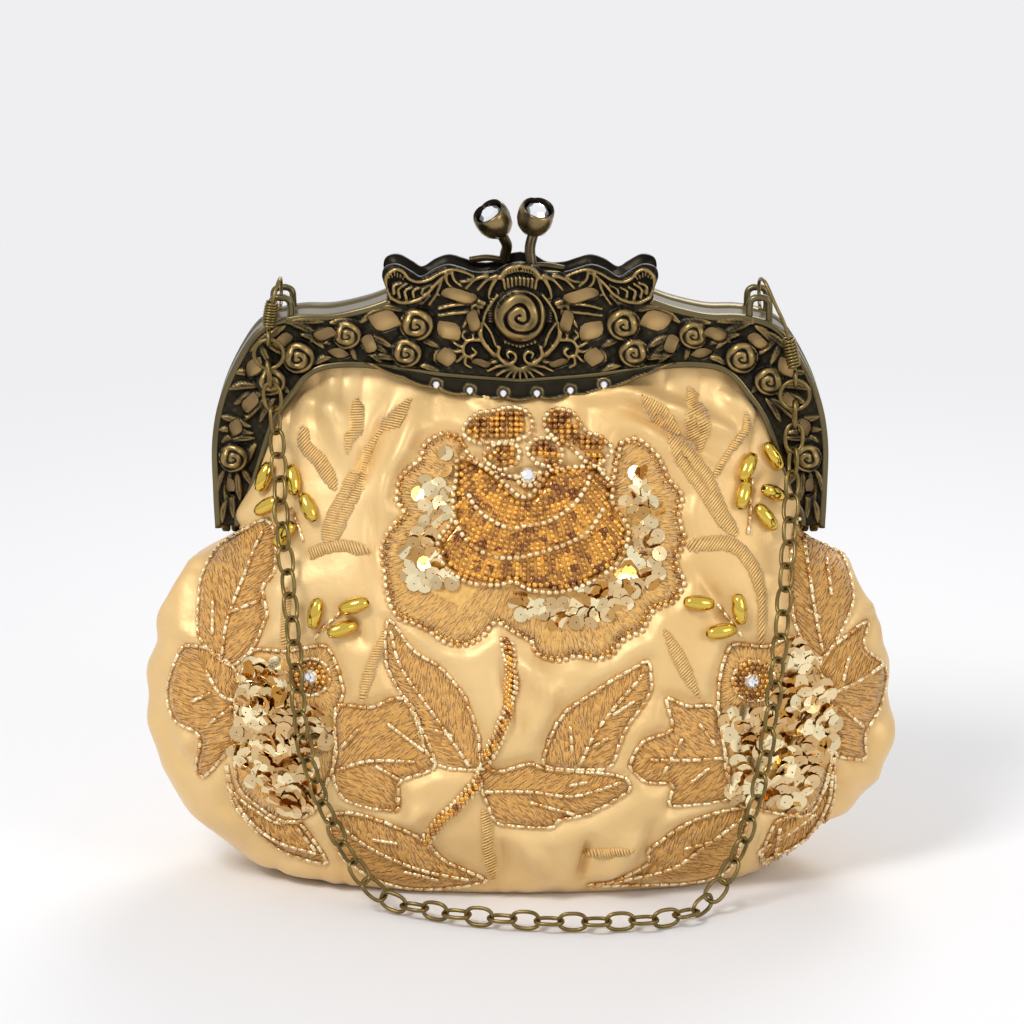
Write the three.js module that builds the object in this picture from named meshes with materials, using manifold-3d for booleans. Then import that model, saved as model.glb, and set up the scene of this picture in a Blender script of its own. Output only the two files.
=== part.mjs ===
// A beaded evening bag: a satin pouch on a cast openwork frame with a kiss-lock, hung on a cable chain.
// Millimetres, +Z up, +X to the right and -Y towards the front. The origin is the middle of the flat base.
import * as THREE from "three";
import { mergeVertices } from "three/addons/utils/BufferGeometryUtils.js";
import Module from "manifold-3d";

const wasm = await Module();
wasm.setup();

// Clearances
const clearance = 0.3; // between neighbouring pieces
const sewnGap = 0.6; // between the satin and what is sewn on it

// Pouch
const pouchCurve = 2.3; // roundness of a level slice: 2 is an ellipse, more is squarer
const pouchWall = 2;
const panelWall = 1.4;
const rimHeight = 104; // where the closed sack ends and the frame begins
const foldDepth = 1.1;
const sackColumns = 48;
const panelColumns = 18;
// Height and half width of the sack
const sackWidths = [
  [0, 70], [3, 77], [8, 84], [15, 92], [22, 100], [35, 108], [48, 111],
  [61, 111.5], [70, 109.5], [78, 106.5], [86, 103], [94, 99.5], [rimHeight, 94.5],
];
// Height and half depth of the bag
const bagDepths = [
  [0, 27], [3, 31], [8, 34], [15, 36.5], [22, 38.5], [35, 40], [48, 40], [61, 39],
  [70, 37.5], [78, 36], [86, 34], [94, 32], [rimHeight, 29], [110, 27], [120, 23],
  [130, 18], [140, 12.5], [147, 8], [152, 5],
];
const panelTop = 146.5;
const panelEdgeDepth = 3; // distance of the satin's glued edge from the parting plane
const liningWall = 0.8;
const liningHeight = 78;
const liningFloor = pouchWall + 1.2;
const liningColumns = 32;

// Frame
const hingeHeight = 109;
const frontFace = 8.4; // distance of the casting's face from the parting plane
const plateThickness = 2.2;
const partingGap = 0.4; // from the parting plane to each half
const flangeWidth = 1.8;
const flangeProud = 0.6; // how far the flanges stand in front of the plate
const crestHalfWidth = 39;
const backingThickness = 0.7;
// Right half of the outer edge, from the middle of the crest to the foot: X and Z
const crestEdge = [
  [0, 189], [4, 188.2], [8, 186], [13, 186], [17, 187.2], [21, 188.2], [25, 187],
  [29, 184.6], [32, 186.2], [36, 188.3], [39.5, 187.4], [40.2, 184.6],
];
const shoulderEdge = [
  [crestHalfWidth, 178], [46, 175.5], [56, 173.3], [66, 173], [75, 170.5], [81.3, 164],
  [88.3, 150], [91.2, 136], [91.2, 120], [90.8, hingeHeight],
];
// Right half of the flange hidden behind the crest
const crestFlange = [[0, 183.4], [13, 182.8], [29, 181.4], [crestHalfWidth, 177.6]];
// Right half of the inner bar, from the middle to the foot
const innerEdge = [
  [0, 153.2], [22, 155], [45, 158.2], [56, 158], [62, 155.8], [67, 150.4],
  [73.4, 140.3], [80.2, 120], [84, 113], [84.2, hingeHeight],
];
// Half width of the window inside the bar: height and half width
const windowWidths = [
  [rimHeight, 82.9], [113, 82.9], [120, 78.9], [140.3, 72.1], [150, 65.4], [156, 60],
];

// Gem rail: scallops under the inner bar
const stoneCount = 6;
const stonePitch = 9.9;
const stoneRadius = 1.55;
const stoneHeight = 1.3;
const railHeight = 150; // of the lowest stones
const railRise = 0.0045; // how fast the rail climbs to its ends, per millimetre squared
const railThickness = 1.7;
const railHalfLength = 46;
const railReach = 4.5; // from the stones up to the inner bar
const railRoom = 1.6; // from the stones down to the foot of a scallop
const scallopDepth = 0.9;

// Openings between the leaves: X, Z, half length, half width, turn in degrees
const piercings = [
  [18, 179, 5.4, 2.2, 10], [13.8, 171.3, 3.4, 2, 90], [21, 168.4, 4.2, 2.8, 40],
  [21.8, 160.4, 3.2, 2.6, 80], [11.4, 158.6, 3, 1.3, 10], [40, 171.4, 5, 3, 10],
  [44.6, 164.4, 3, 2.2, 80], [57.6, 167.4, 3.4, 2, -10], [53.6, 161.6, 3.6, 1.4, 10],
  [70, 165.4, 3.2, 2, -30], [78.6, 157.4, 3.8, 2, -60], [80, 146.5, 3.6, 2, -65],
  [84.4, 139, 3, 1.8, -75], [86.2, 121, 3, 1.3, 80],
];
// Roses cast in relief: X, Z, radius
const castRoses = [
  [30.5, 170.5, 4.6], [33.5, 162, 4.2], [51, 167.4, 4], [65.4, 160.6, 4.4],
  [73.6, 153.4, 4.2], [85.2, 130, 3.6],
];
const middleRose = { x: 0, z: 173.2, halfWidth: 7.3, halfHeight: 7.6, rise: 3.2 };
const roseRise = 0.55; // height of a cast rose over its radius
// Leaves cast in relief: X, Z, half length, half width, turn in degrees
const castLeaves = [
  [11, 180.5, 5, 1.5, 35], [28, 181, 6, 1.6, -25], [35, 183.4, 4.6, 1.6, 40],
  [14.5, 164.6, 5, 1.6, 60], [27, 175.6, 4.4, 1.4, 20], [6, 160.6, 5, 1.4, 40],
  [40, 165.6, 3.4, 1.3, 70], [62.4, 168.4, 4.6, 1.4, 20], [74.4, 161, 4, 1.3, -50],
  [77, 149.4, 4, 1.3, -70], [82.4, 147.6, 4, 1.2, -60], [87.4, 139, 4.4, 1.1, -80],
  [87, 116, 4, 1, 85],
];
const leafRise = 0.9;

// Chain lugs, on both shoulders
const lugPlace = 70.5; // X of each lug
const lugAxisHeight = 178.3;
const lugBarRadius = 1.1;
const lugHalfWidth = 2.9; // from the middle of the lug to the middle of a leg
const lugLegWidth = 1.7;
const lugLegLength = 8.3;

// Hinges
const earRadius = 3.9;
const earThickness = 2.5;
const frontEarInside = 84; // X of the inner face of the front half's ear
const backEarInside = frontEarInside + earThickness + clearance;
const pinRadius = 1.1;
const pinHeadRadius = 2;
const pinHeadThickness = 0.8;

// Kiss-lock
const budRadius = 5.5;
const stemRadius = 1.7;
const budStoneRadius = 2.3;
const budStoneHeight = 2;
const socketDepth = 0.33; // height of the socket's floor over the bud's radius
const tabHalfDepth = 1;
const tabHalfLength = 6;
const tabPlace = frontFace - plateThickness - tabHalfDepth - 0.5; // the leaf tabs lie behind the plates
const crestTop = crestEdge[0][1];
const frontBud = {
  centre: [4.4, -2, crestTop + 12],
  aim: [0.25, -0.5, 0.83],
  stem: [[4, -1.4, crestTop + 8], [2.6, -3.6, crestTop + 3], [3.4, -tabPlace, crestTop - 2]],
  tab: [7.4, -tabPlace, crestTop - 2],
};
const backBud = {
  centre: [-7.6, 2, crestTop + 10.4],
  aim: [-0.45, -0.45, 0.77],
  stem: [[-6, 2.6, crestTop + 7], [-3.4, 4, crestTop + 2.6], [-4.6, tabPlace, crestTop - 1.6]],
  tab: [-9.4, tabPlace, crestTop - 1.6],
};

// Sewn work on the front: outlines in X and Z
const edgeRise = 1;
const padRise = 1.8;
const roseRelief = [1.3, 2.1, 2.6, 3.4, 3.6];
const roseRings = [1, 0.82, 0.56, 0.5, 0];
const padRelief = [edgeRise, padRise, padRise + 0.1];
const padRings = [1, 0.72, 0];
const roseOutline = [
  [-17, 133], [-23, 137.5], [-29, 134], [-35, 129], [-37, 123], [-33, 117], [-39, 112],
  [-41, 104], [-38, 95], [-32, 87], [-20, 81], [-8, 85], [3, 79], [14, 75], [26, 76.5],
  [36, 84], [45, 92], [48, 101], [46, 106], [49, 112], [48, 119], [43, 126], [38, 135],
  [31, 134], [22, 134], [12, 140], [-2, 141], [-12, 139],
];
const roseMiddle = [3, 110];
const flowers = {
  left_flower: [
    [-81, 71], [-77, 76], [-66, 78], [-57, 78], [-52, 67], [-55, 56], [-54, 45],
    [-61, 30], [-70, 24], [-82, 33], [-85, 42], [-84, 56],
  ],
  right_flower: [
    [61, 78], [71, 78], [79, 77], [84, 73], [89, 64], [91.5, 51], [91, 38], [86, 26],
    [78, 25], [64, 32], [61.6, 44], [58.6, 56], [58, 67],
  ],
};
const leaves = {
  left_leaf_1: [
    [-76, 103.4], [-88, 101.4], [-93, 94], [-95, 83], [-92, 77], [-87, 73.5], [-79, 79],
    [-75.6, 88], [-73, 99],
  ],
  left_leaf_2: [
    [-100, 73], [-93, 74], [-87.4, 70], [-87, 60], [-87.6, 49], [-90, 42], [-94, 36.5],
    [-96, 47], [-102, 53], [-105, 59], [-104, 66],
  ],
  left_leaf_3: [
    [-50, 62], [-44, 62.5], [-36, 65], [-31, 58], [-25, 45], [-34, 39], [-36, 31],
    [-44, 30.5], [-50, 34], [-51, 48],
  ],
  left_leaf_4: [
    [-39, 87], [-31, 79], [-22.5, 73], [-16.5, 65], [-13.6, 54], [-15, 46.6], [-22, 47],
    [-28, 54], [-31.6, 62.6], [-37, 68.6], [-41, 78],
  ],
  left_leaf_5: [
    [-56, 27], [-47, 28], [-30, 22], [-21, 13], [-12, 7], [-26, 4], [-41, 5], [-52, 13],
  ],
  left_leaf_6: [
    [-88, 37], [-82.6, 31.5], [-76, 25], [-68, 21], [-62, 19], [-58, 11], [-68, 11],
    [-78, 18], [-86, 27],
  ],
  right_leaf_1: [
    [78, 103], [87, 101.6], [94, 95], [97.5, 88], [95, 80.5], [89, 76.4], [84, 82],
    [80, 90], [79, 99],
  ],
  right_leaf_2: [
    [101, 79], [102, 72], [106.5, 65], [106.5, 55], [102.5, 47], [102, 40], [95.4, 42],
    [95, 54], [93, 65], [91.5, 72],
  ],
  right_leaf_3: [
    [42, 64], [49, 61.6], [54.6, 61.4], [56, 52], [58, 42], [59, 32.6], [45, 31.6],
    [44.6, 37], [37, 38.6], [33.6, 45], [38, 52], [44.6, 56],
  ],
  right_leaf_4: [
    [38, 74.6], [38, 66], [32, 56], [28, 48.6], [22, 46], [8, 47], [9, 54], [13, 61],
    [22, 67],
  ],
  right_leaf_5: [
    [20, 5], [29, 7.6], [37.6, 12.6], [42, 19], [50, 25], [60, 28.6], [66, 26], [64, 17],
    [60, 8], [50, 4], [36, 3.6],
  ],
  right_leaf_6: [
    [94.6, 37], [94.6, 29], [89, 18], [80, 11], [72, 10.6], [76.6, 19], [83.8, 22], [89.4, 29.2],
  ],
  centre_leaf: [
    [-9, 41.6], [-2, 43], [8, 43.4], [18, 41], [30, 40.6], [31.6, 36], [22, 29.6],
    [10, 26], [-5, 26], [-9, 33],
  ],
};
const stemRoute = [
  [-1, 77], [-1.6, 70], [-3.6, 61], [-7, 53], [-11.4, 46], [-13.4, 38], [-18, 31.4],
];
const stemHalfWidth = 2.2;
const stemHalfHeight = 1.2;
// Oat beads: X, Z, turn in degrees, in sprays held by a bugle stem
const oatHalfLength = 4.5;
const oatRadius = 2.4;
const threadRadius = 0.7;
const sprays = {
  left_upper_spray: [[-73.4, 125, 70], [-65, 124.4, -75], [-61.6, 117, 60], [-71, 115.6, 80]],
  right_upper_spray: [[65, 129, -70], [69.6, 131, 60], [64.4, 120, -80], [70.6, 121, 25]],
  left_lower_spray: [[-60, 88.6, 80], [-48, 91, 10], [-52.6, 82.6, 12]],
  right_lower_spray: [[51.6, 91, -8], [64, 89.6, -65], [58, 83, 14]],
};
const crystalRadius = 2.4;
const crystalHeight = 2;
const crystals = {
  rose_crystal: { place: [2, 127], lift: roseRelief[3] + 0.3 },
  left_flower_crystal: { place: [-63, 69], lift: padRise + 0.2 },
  right_flower_crystal: { place: [67.6, 68], lift: padRise + 0.2 },
};

// Chain and clips
const linkLength = 9.2;
const linkWidth = 6.4;
const linkWire = 1.2;
const linkSides = 4;
const linkSteps = 6;
const linkFullness = 1.1; // widens the four-sided wire to about the round one's section
const joinedPitch = 7; // between links that touch inside one run
const loosePitch = linkLength - 2 * linkWire - 1.6 * clearance; // between one run and the next
const runCount = 9;
const ringRadius = 4.3;
const ringWire = 1.2;
const clipWire = 1.1;
const eyeRadius = 2.3;
const springRadius = 2.4;
const springTurns = 4;
const floorRoute = linkWidth / 2 + clearance; // height of the chain's middle on the table
// Where the chain hangs and lies, by hand, from the left ring to the right one
const chainRoute = [
  [-73.2, -14.8, 152], [-72, -16, 142], [-71, -19.8, 128], [-70, -27, 114],
  [-68.4, -31.4, 101], [-67, -36.4, 88], [-65.8, -40.4, 74], [-64.6, -43.2, 60],
  [-62, -44.6, 46], [-57.6, -45, 33], [-51.8, -44.4, 20], [-45.4, -44.4, 9.5],
  [-38.4, -46.6, 4.4], [-31, -50, floorRoute], [-21, -55, floorRoute], [-8, -59, floorRoute],
  [6, -61.6, floorRoute], [20, -62.4, floorRoute], [34, -61.4, floorRoute],
  [45, -58, floorRoute], [53, -51.6, 4.2], [58.6, -45.6, 8], [63.6, -43, 16],
  [67.8, -43, 28], [71, -43.4, 42], [73.2, -42.4, 56], [75, -40, 70], [76.6, -36.4, 84],
  [78, -31.6, 98], [79.2, -25.6, 110], [80.2, -19, 124], [80.8, -15.4, 138],
];
// Clips: points are measured from the middle of the lug's bar that each clip hangs on
const sides = {
  left: {
    sign: -1,
    ring: [-3.3, -7.3, -15.4],
    // The wire from the eye up through the spring and over the lug
    hook: [
      [-2.8, -7.1, -4.3], [-2.2, -6.8, -0.9], [-1.4, -6, 2.5], [-0.5, -3.5, 5.7], [0, -0.1, 6.5],
      [0, 2.9, 4.7], [0, 3.8, 0.9], [0, 2.6, -1.4], [0, -0.1, -2.1], [0, -2.9, -2.6],
    ],
    spring: [[-3.2, -7.3, -7.1], [-2.1, -6.7, 0.1]],
  },
  right: {
    sign: 1,
    ring: [10.4, -7.3, -27.7],
    hook: [
      [9.5, -7.2, -16.3], [8.3, -7, -10.7], [6.7, -6.7, -5.9], [4.1, -5.9, -0.5], [1.7, -3.5, 4.7],
      [0.5, -0.5, 6.4], [0, 2.9, 4.7], [0, 3.8, 0.9], [0, 2.6, -1.4], [0, -0.1, -2.1], [0, -2.9, -2.6],
    ],
    spring: [[10.05, -7.3, -19.1], [8.3, -7, -10.7]],
  },
};
const lugDepth = frontFace - plateThickness / 2;
const fromLug = (sign, [x, y, z]) => [sign * lugPlace + x, y - lugDepth, lugAxisHeight + z];

// Finishes
const finish = (color, roughness, metalness) =>
  new THREE.MeshStandardMaterial({ color, roughness, metalness });
const antiqueBrass = () => finish(0x6e5a34, 0.42, 1);
const satin = () => finish(0xe6c68c, 0.45, 0);
const beadwork = () => finish(0xc98f35, 0.3, 0.2);
const sequins = () => finish(0xcfae5c, 0.2, 1);
const goldBead = () => finish(0xc9b04a, 0.2, 1);
const crystal = () => finish(0xe8eef2, 0.05, 0);
const springBrass = () => finish(0x9a8148, 0.35, 1);

// Straight lines between the knots of a size that changes with height
function between(knots, at) {
  if (at <= knots[0][0]) return knots[0][1];
  for (let i = 1; i < knots.length; i++) {
    const [a, low] = knots[i - 1];
    const [b, high] = knots[i];
    if (at <= b) return low + ((high - low) * (at - a)) / (b - a);
  }
  return knots[knots.length - 1][1];
}

// From 0 at one height to 1 at another
const fade = (from, to, at) => THREE.MathUtils.smoothstep(at, from, to);

// A closed solid for joining and cutting
function solid(geometry) {
  const bare = geometry.index ? geometry.toNonIndexed() : geometry.clone();
  bare.deleteAttribute("normal");
  bare.deleteAttribute("uv");
  const merged = mergeVertices(bare, 1e-4);
  return new wasm.Manifold(
    new wasm.Mesh({
      numProp: 3,
      vertProperties: merged.attributes.position.array,
      triVerts: new Uint32Array(merged.index.array),
    }),
  );
}

// Its surface again, as a mesh
function geometryOf(manifold) {
  const mesh = manifold.getMesh();
  const geometry = new THREE.BufferGeometry();
  geometry.setAttribute("position", new THREE.BufferAttribute(mesh.vertProperties.slice(), 3));
  geometry.setIndex(new THREE.BufferAttribute(mesh.triVerts.slice(), 1));
  geometry.computeVertexNormals();
  return geometry;
}

const joined = (geometries) =>
  geometryOf(geometries.map(solid).reduce((whole, piece) => whole.add(piece)));

// Rings of points, all of one length, skinned into one closed surface with a fan at each end
function skin(rings) {
  const count = rings[0].length;
  const points = rings.flat();
  const faces = [];
  for (let r = 0; r + 1 < rings.length; r++)
    for (let i = 0; i < count; i++) {
      const a = r * count + i;
      const b = r * count + ((i + 1) % count);
      faces.push(a, b, b + count, a, b + count, a + count);
    }
  const cap = (row, turned) => {
    const middle = points.length;
    const ring = rings[row];
    points.push(ring.reduce((sum, p) => sum.map((v, k) => v + p[k] / count), [0, 0, 0]));
    for (let i = 0; i < count; i++) {
      const a = row * count + i;
      const b = row * count + ((i + 1) % count);
      faces.push(...(turned ? [middle, b, a] : [middle, a, b]));
    }
  };
  cap(0, true);
  cap(rings.length - 1, false);
  const geometry = new THREE.BufferGeometry();
  geometry.setAttribute("position", new THREE.Float32BufferAttribute(points.flat(), 3));
  geometry.setIndex(faces);
  return geometry;
}

// A flat outline in X and Z made solid between two depths
function plate(points, front, back, holes = []) {
  const shape = new THREE.Shape(points.map(([x, z]) => new THREE.Vector2(x, z)));
  for (const hole of holes)
    shape.holes.push(new THREE.Path(hole.map(([x, z]) => new THREE.Vector2(x, z))));
  const geometry = new THREE.ExtrudeGeometry(shape, {
    depth: back - front,
    bevelEnabled: false,
    curveSegments: 1,
  });
  return geometry.rotateX(Math.PI / 2).translate(0, back, 0);
}

// A strip of even width along a line of points in X and Z
function strip(line, width, front, back) {
  const side = (sign) =>
    line.map(([x, z], i) => {
      const [ax, az] = line[Math.max(0, i - 1)];
      const [bx, bz] = line[Math.min(line.length - 1, i + 1)];
      const long = Math.hypot(bx - ax, bz - az);
      return [
        x - (sign * width * (bz - az)) / (2 * long),
        z + (sign * width * (bx - ax)) / (2 * long),
      ];
    });
  return plate([...side(1), ...side(-1).reverse()], front, back);
}

// A pointed oval in X and Z
function lens(x, z, halfLength, halfWidth, degrees, points = 6) {
  const turn = THREE.MathUtils.degToRad(degrees);
  return Array.from({ length: points }, (_, i) => {
    const angle = (2 * Math.PI * i) / points;
    const along = halfLength * Math.cos(angle);
    const across = halfWidth * Math.sin(angle);
    return [
      x + along * Math.cos(turn) - across * Math.sin(turn),
      z + along * Math.sin(turn) + across * Math.cos(turn),
    ];
  });
}

function tube(points, radius, sections = 6, steps = 16) {
  const curve = new THREE.CatmullRomCurve3(points.map((p) => new THREE.Vector3(...p)));
  const round = new THREE.Shape(
    Array.from({ length: sections }, (_, i) => {
      const angle = (2 * Math.PI * i) / sections;
      return new THREE.Vector2(radius * Math.cos(angle), radius * Math.sin(angle));
    }),
  );
  return new THREE.ExtrudeGeometry(round, { steps, extrudePath: curve, bevelEnabled: false });
}

// Turns a geometry whose own Y axis points up so that Y points along a direction
const aimed = (geometry, direction) =>
  geometry.applyQuaternion(
    new THREE.Quaternion().setFromUnitVectors(
      new THREE.Vector3(0, 1, 0),
      new THREE.Vector3(...direction).normalize(),
    ),
  );

// Pouch: half width and half depth of a level slice, drawn in by an inset
const slice = (z, inset) => [between(sackWidths, z) - inset, between(bagDepths, z) - inset];

// Gathers draw every other column of the satin in, deepest at the base and under the rail
const foldAt = (column, strength) => (column % 2 ? foldDepth * strength : 0);

function levelRing(z, inset, columns, folded) {
  const [halfWidth, halfDepth] = slice(z, inset);
  return Array.from({ length: columns }, (_, i) => {
    const angle = (2 * Math.PI * i) / columns;
    const power = 2 / pouchCurve;
    const c = Math.cos(angle);
    const s = Math.sin(angle);
    const x = Math.sign(c) * Math.abs(c) ** power * halfWidth;
    const y = Math.sign(s) * Math.abs(s) ** power * halfDepth;
    const drawn = folded ? 1 - foldAt(i, 1 - fade(2, 26, z)) / Math.hypot(x, y) : 1;
    return [x * drawn, y * drawn, z];
  });
}

const wallRows = [30, 54, liningHeight];

function sack() {
  const columns = sackColumns;
  const outerRows = [0, 3, 8, 15, 23, 36, 50, 64, 78, 92, rimHeight];
  const innerRows = [rimHeight, ...[...wallRows].reverse(), 12, pouchWall + 0.2];
  return skin([
    ...outerRows.map((z) => levelRing(z, 0, columns, true)),
    ...innerRows.map((z) => levelRing(z, pouchWall + (z < 20 ? 0.6 : 0), columns, false)),
  ]);
}

// A thin bag inside the sack, drawn in more at its floor
function lining() {
  const outer = pouchWall + clearance;
  const drawnIn = (z) => outer + (z < 20 ? 1.6 : 0.5);
  const level = (z, inset) => levelRing(z, inset, liningColumns, false);
  const walls = [12, ...wallRows];
  return skin([
    ...[liningFloor, ...walls].map((z) => level(z, drawnIn(z))),
    ...[...walls].reverse().map((z) => level(z, drawnIn(z) + liningWall)),
    level(liningFloor + liningWall, drawnIn(liningFloor) + liningWall),
  ]);
}

// Depth of the satin in front of the parting plane
function frontDepth(x, z) {
  const sunk = z > rimHeight;
  const halfWidth = sunk ? between(windowWidths, z) : between(sackWidths, z);
  const edge = sunk ? panelEdgeDepth : 0;
  const across = Math.min(1, Math.abs(x / halfWidth));
  return edge + (between(bagDepths, z) - edge) * (1 - across ** pouchCurve) ** (1 / pouchCurve);
}

// A panel that fills the frame's window, from a level up to the rail; side is -1 in front and 1 behind
function panel(side, fromHeight, insideRim) {
  const columns = panelColumns;
  const rows = [fromHeight, 110, 118, 127, 137, panelTop];
  const sheet = (inset) =>
    rows.map((z, r) => {
      const low = insideRim && r === 0;
      const halfWidth = (low ? between(sackWidths, z) * 0.84 : between(windowWidths, z)) - clearance;
      return Array.from({ length: columns + 1 }, (_, i) => {
        const share = Math.sin((Math.PI / 2) * ((2 * i) / columns - 1) * 0.97);
        const gather = foldAt(i, fade(rimHeight + 14, rimHeight + 36, z));
        const drop = insideRim ? 0.4 : 1.4;
        const depth = frontDepth(share * halfWidth, z) - inset - gather - (z < rimHeight + 8 ? drop : 0);
        return [share * halfWidth, side * Math.max(depth, 1.2 + (inset ? 0 : 1)), z];
      });
    });
  const outside = sheet(0);
  const inside = sheet(panelWall);
  // Each level becomes a closed loop: out along one face and back along the other
  const loops = rows.map((_, r) => {
    const loop = [...outside[r], ...inside[r].slice().reverse()];
    return side < 0 ? loop : loop.reverse();
  });
  return stacked(loops);
}

// Loops of one length stacked into a solid whose two ends are strips, not fans
function stacked(loops) {
  const count = loops[0].length;
  const points = loops.flat();
  const faces = [];
  for (let r = 0; r + 1 < loops.length; r++)
    for (let i = 0; i < count; i++) {
      const a = r * count + i;
      const b = r * count + ((i + 1) % count);
      faces.push(a, b, b + count, a, b + count, a + count);
    }
  const last = (loops.length - 1) * count;
  for (let i = 0; i + 1 < count / 2; i++) {
    const [a, b, c, d] = [i, i + 1, count - 2 - i, count - 1 - i];
    faces.push(a, c, b, a, d, c);
    faces.push(last + a, last + b, last + c, last + a, last + c, last + d);
  }
  const geometry = new THREE.BufferGeometry();
  geometry.setAttribute("position", new THREE.Float32BufferAttribute(points.flat(), 3));
  geometry.setIndex(faces);
  return geometry;
}

// Points on the front of the satin, lifted along its normal
function onSatin(x, z, lift) {
  const step = 0.25;
  const halfWidth = z > rimHeight ? between(windowWidths, z) : between(sackWidths, z);
  const kept = THREE.MathUtils.clamp(x, -0.985 * halfWidth, 0.985 * halfWidth);
  const slopeX = (frontDepth(kept + step, z) - frontDepth(kept - step, z)) / (2 * step);
  const slopeZ = (frontDepth(kept, z + step) - frontDepth(kept, z - step)) / (2 * step);
  const normal = new THREE.Vector3(-slopeX, -1, -slopeZ).normalize();
  const place = new THREE.Vector3(kept, -frontDepth(kept, z), z).addScaledVector(normal, lift);
  return { place, normal };
}

// Sewn work: a pad that follows the satin, with rings of relief from its edge to its middle
function pad(outline, rings, relief, middle) {
  const count = outline.length;
  const [mx, mz] = middle ?? outline.reduce(([sx, sz], [x, z]) => [sx + x / count, sz + z / count], [0, 0]);
  const area = outline.reduce((sum, [x, z], i) => {
    const [nx, nz] = outline[(i + 1) % count];
    return sum + x * nz - nx * z;
  }, 0);
  const ordered = area > 0 ? outline : [...outline].reverse();
  const ring = (share, lift) =>
    ordered.map(([x, z]) => {
      const { place } = onSatin(mx + (x - mx) * share, mz + (z - mz) * share, lift);
      return [place.x, place.y, place.z];
    });
  const inner = rings.filter((share) => share > 0);
  const back = [...inner].reverse().map((share) => ring(share, sewnGap));
  const front = inner.map((share, i) => ring(share, sewnGap + relief[i]));
  const geometry = skin([...back, ...front]);
  // The fan's middle points are set on the satin too
  const position = geometry.attributes.position;
  const points = position.count;
  const { place: backMiddle } = onSatin(mx, mz, sewnGap);
  const { place: frontMiddle } = onSatin(mx, mz, sewnGap + relief[relief.length - 1]);
  position.setXYZ(points - 2, backMiddle.x, backMiddle.y, backMiddle.z);
  position.setXYZ(points - 1, frontMiddle.x, frontMiddle.y, frontMiddle.z);
  return geometry;
}

function beadedStem() {
  const sections = 8;
  const rings = stemRoute.map(([x, z], i) => {
    const [ax, az] = stemRoute[Math.max(0, i - 1)];
    const [bx, bz] = stemRoute[Math.min(stemRoute.length - 1, i + 1)];
    const along = new THREE.Vector3(bx - ax, 0, bz - az).normalize();
    const { place, normal } = onSatin(x, z, sewnGap + stemHalfHeight);
    const across = new THREE.Vector3().crossVectors(along, normal).normalize();
    return Array.from({ length: sections }, (_, k) => {
      const angle = (2 * Math.PI * k) / sections;
      const p = place
        .clone()
        .addScaledVector(across, stemHalfWidth * Math.cos(angle))
        .addScaledVector(normal, stemHalfHeight * Math.sin(angle));
      return [p.x, p.y, p.z];
    });
  });
  return skin(rings.reverse());
}

function oatSpray(beads) {
  const lift = clearance + oatRadius;
  const placed = beads.map(([x, z, degrees]) => {
    const { place, normal } = onSatin(x, z, lift);
    const turn = THREE.MathUtils.degToRad(degrees);
    const along = new THREE.Vector3(Math.cos(turn), 0, Math.sin(turn));
    along.addScaledVector(normal, -along.dot(normal)).normalize();
    return { place, along };
  });
  const hub = placed
    .reduce((sum, bead) => sum.addScaledVector(bead.place, 1 / placed.length), new THREE.Vector3());
  const solids = placed.map(({ place, along }) =>
    aimed(
      new THREE.SphereGeometry(1, 6, 3).scale(oatRadius, oatHalfLength, oatRadius),
      along.toArray(),
    ).translate(...place.toArray()),
  );
  const threads = placed.map(({ place }) =>
    aimed(
      new THREE.CylinderGeometry(threadRadius, threadRadius, place.distanceTo(hub) + threadRadius, 4),
      place.clone().sub(hub).toArray(),
    ).translate(...place.clone().add(hub).multiplyScalar(0.5).toArray()),
  );
  return joined([...solids, ...threads]);
}

const gem = (radius, height) => new THREE.CylinderGeometry(radius * 0.55, radius, height, 8);

// A boss of unit size that stands forward of the plane Y = 0
function dome(segments) {
  const profile = [[0, -0.15], [1, -0.15], [0.8, 0.6], [0, 1]].map(([r, y]) => new THREE.Vector2(r, y));
  return new THREE.LatheGeometry(profile, segments).rotateX(Math.PI);
}

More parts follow.
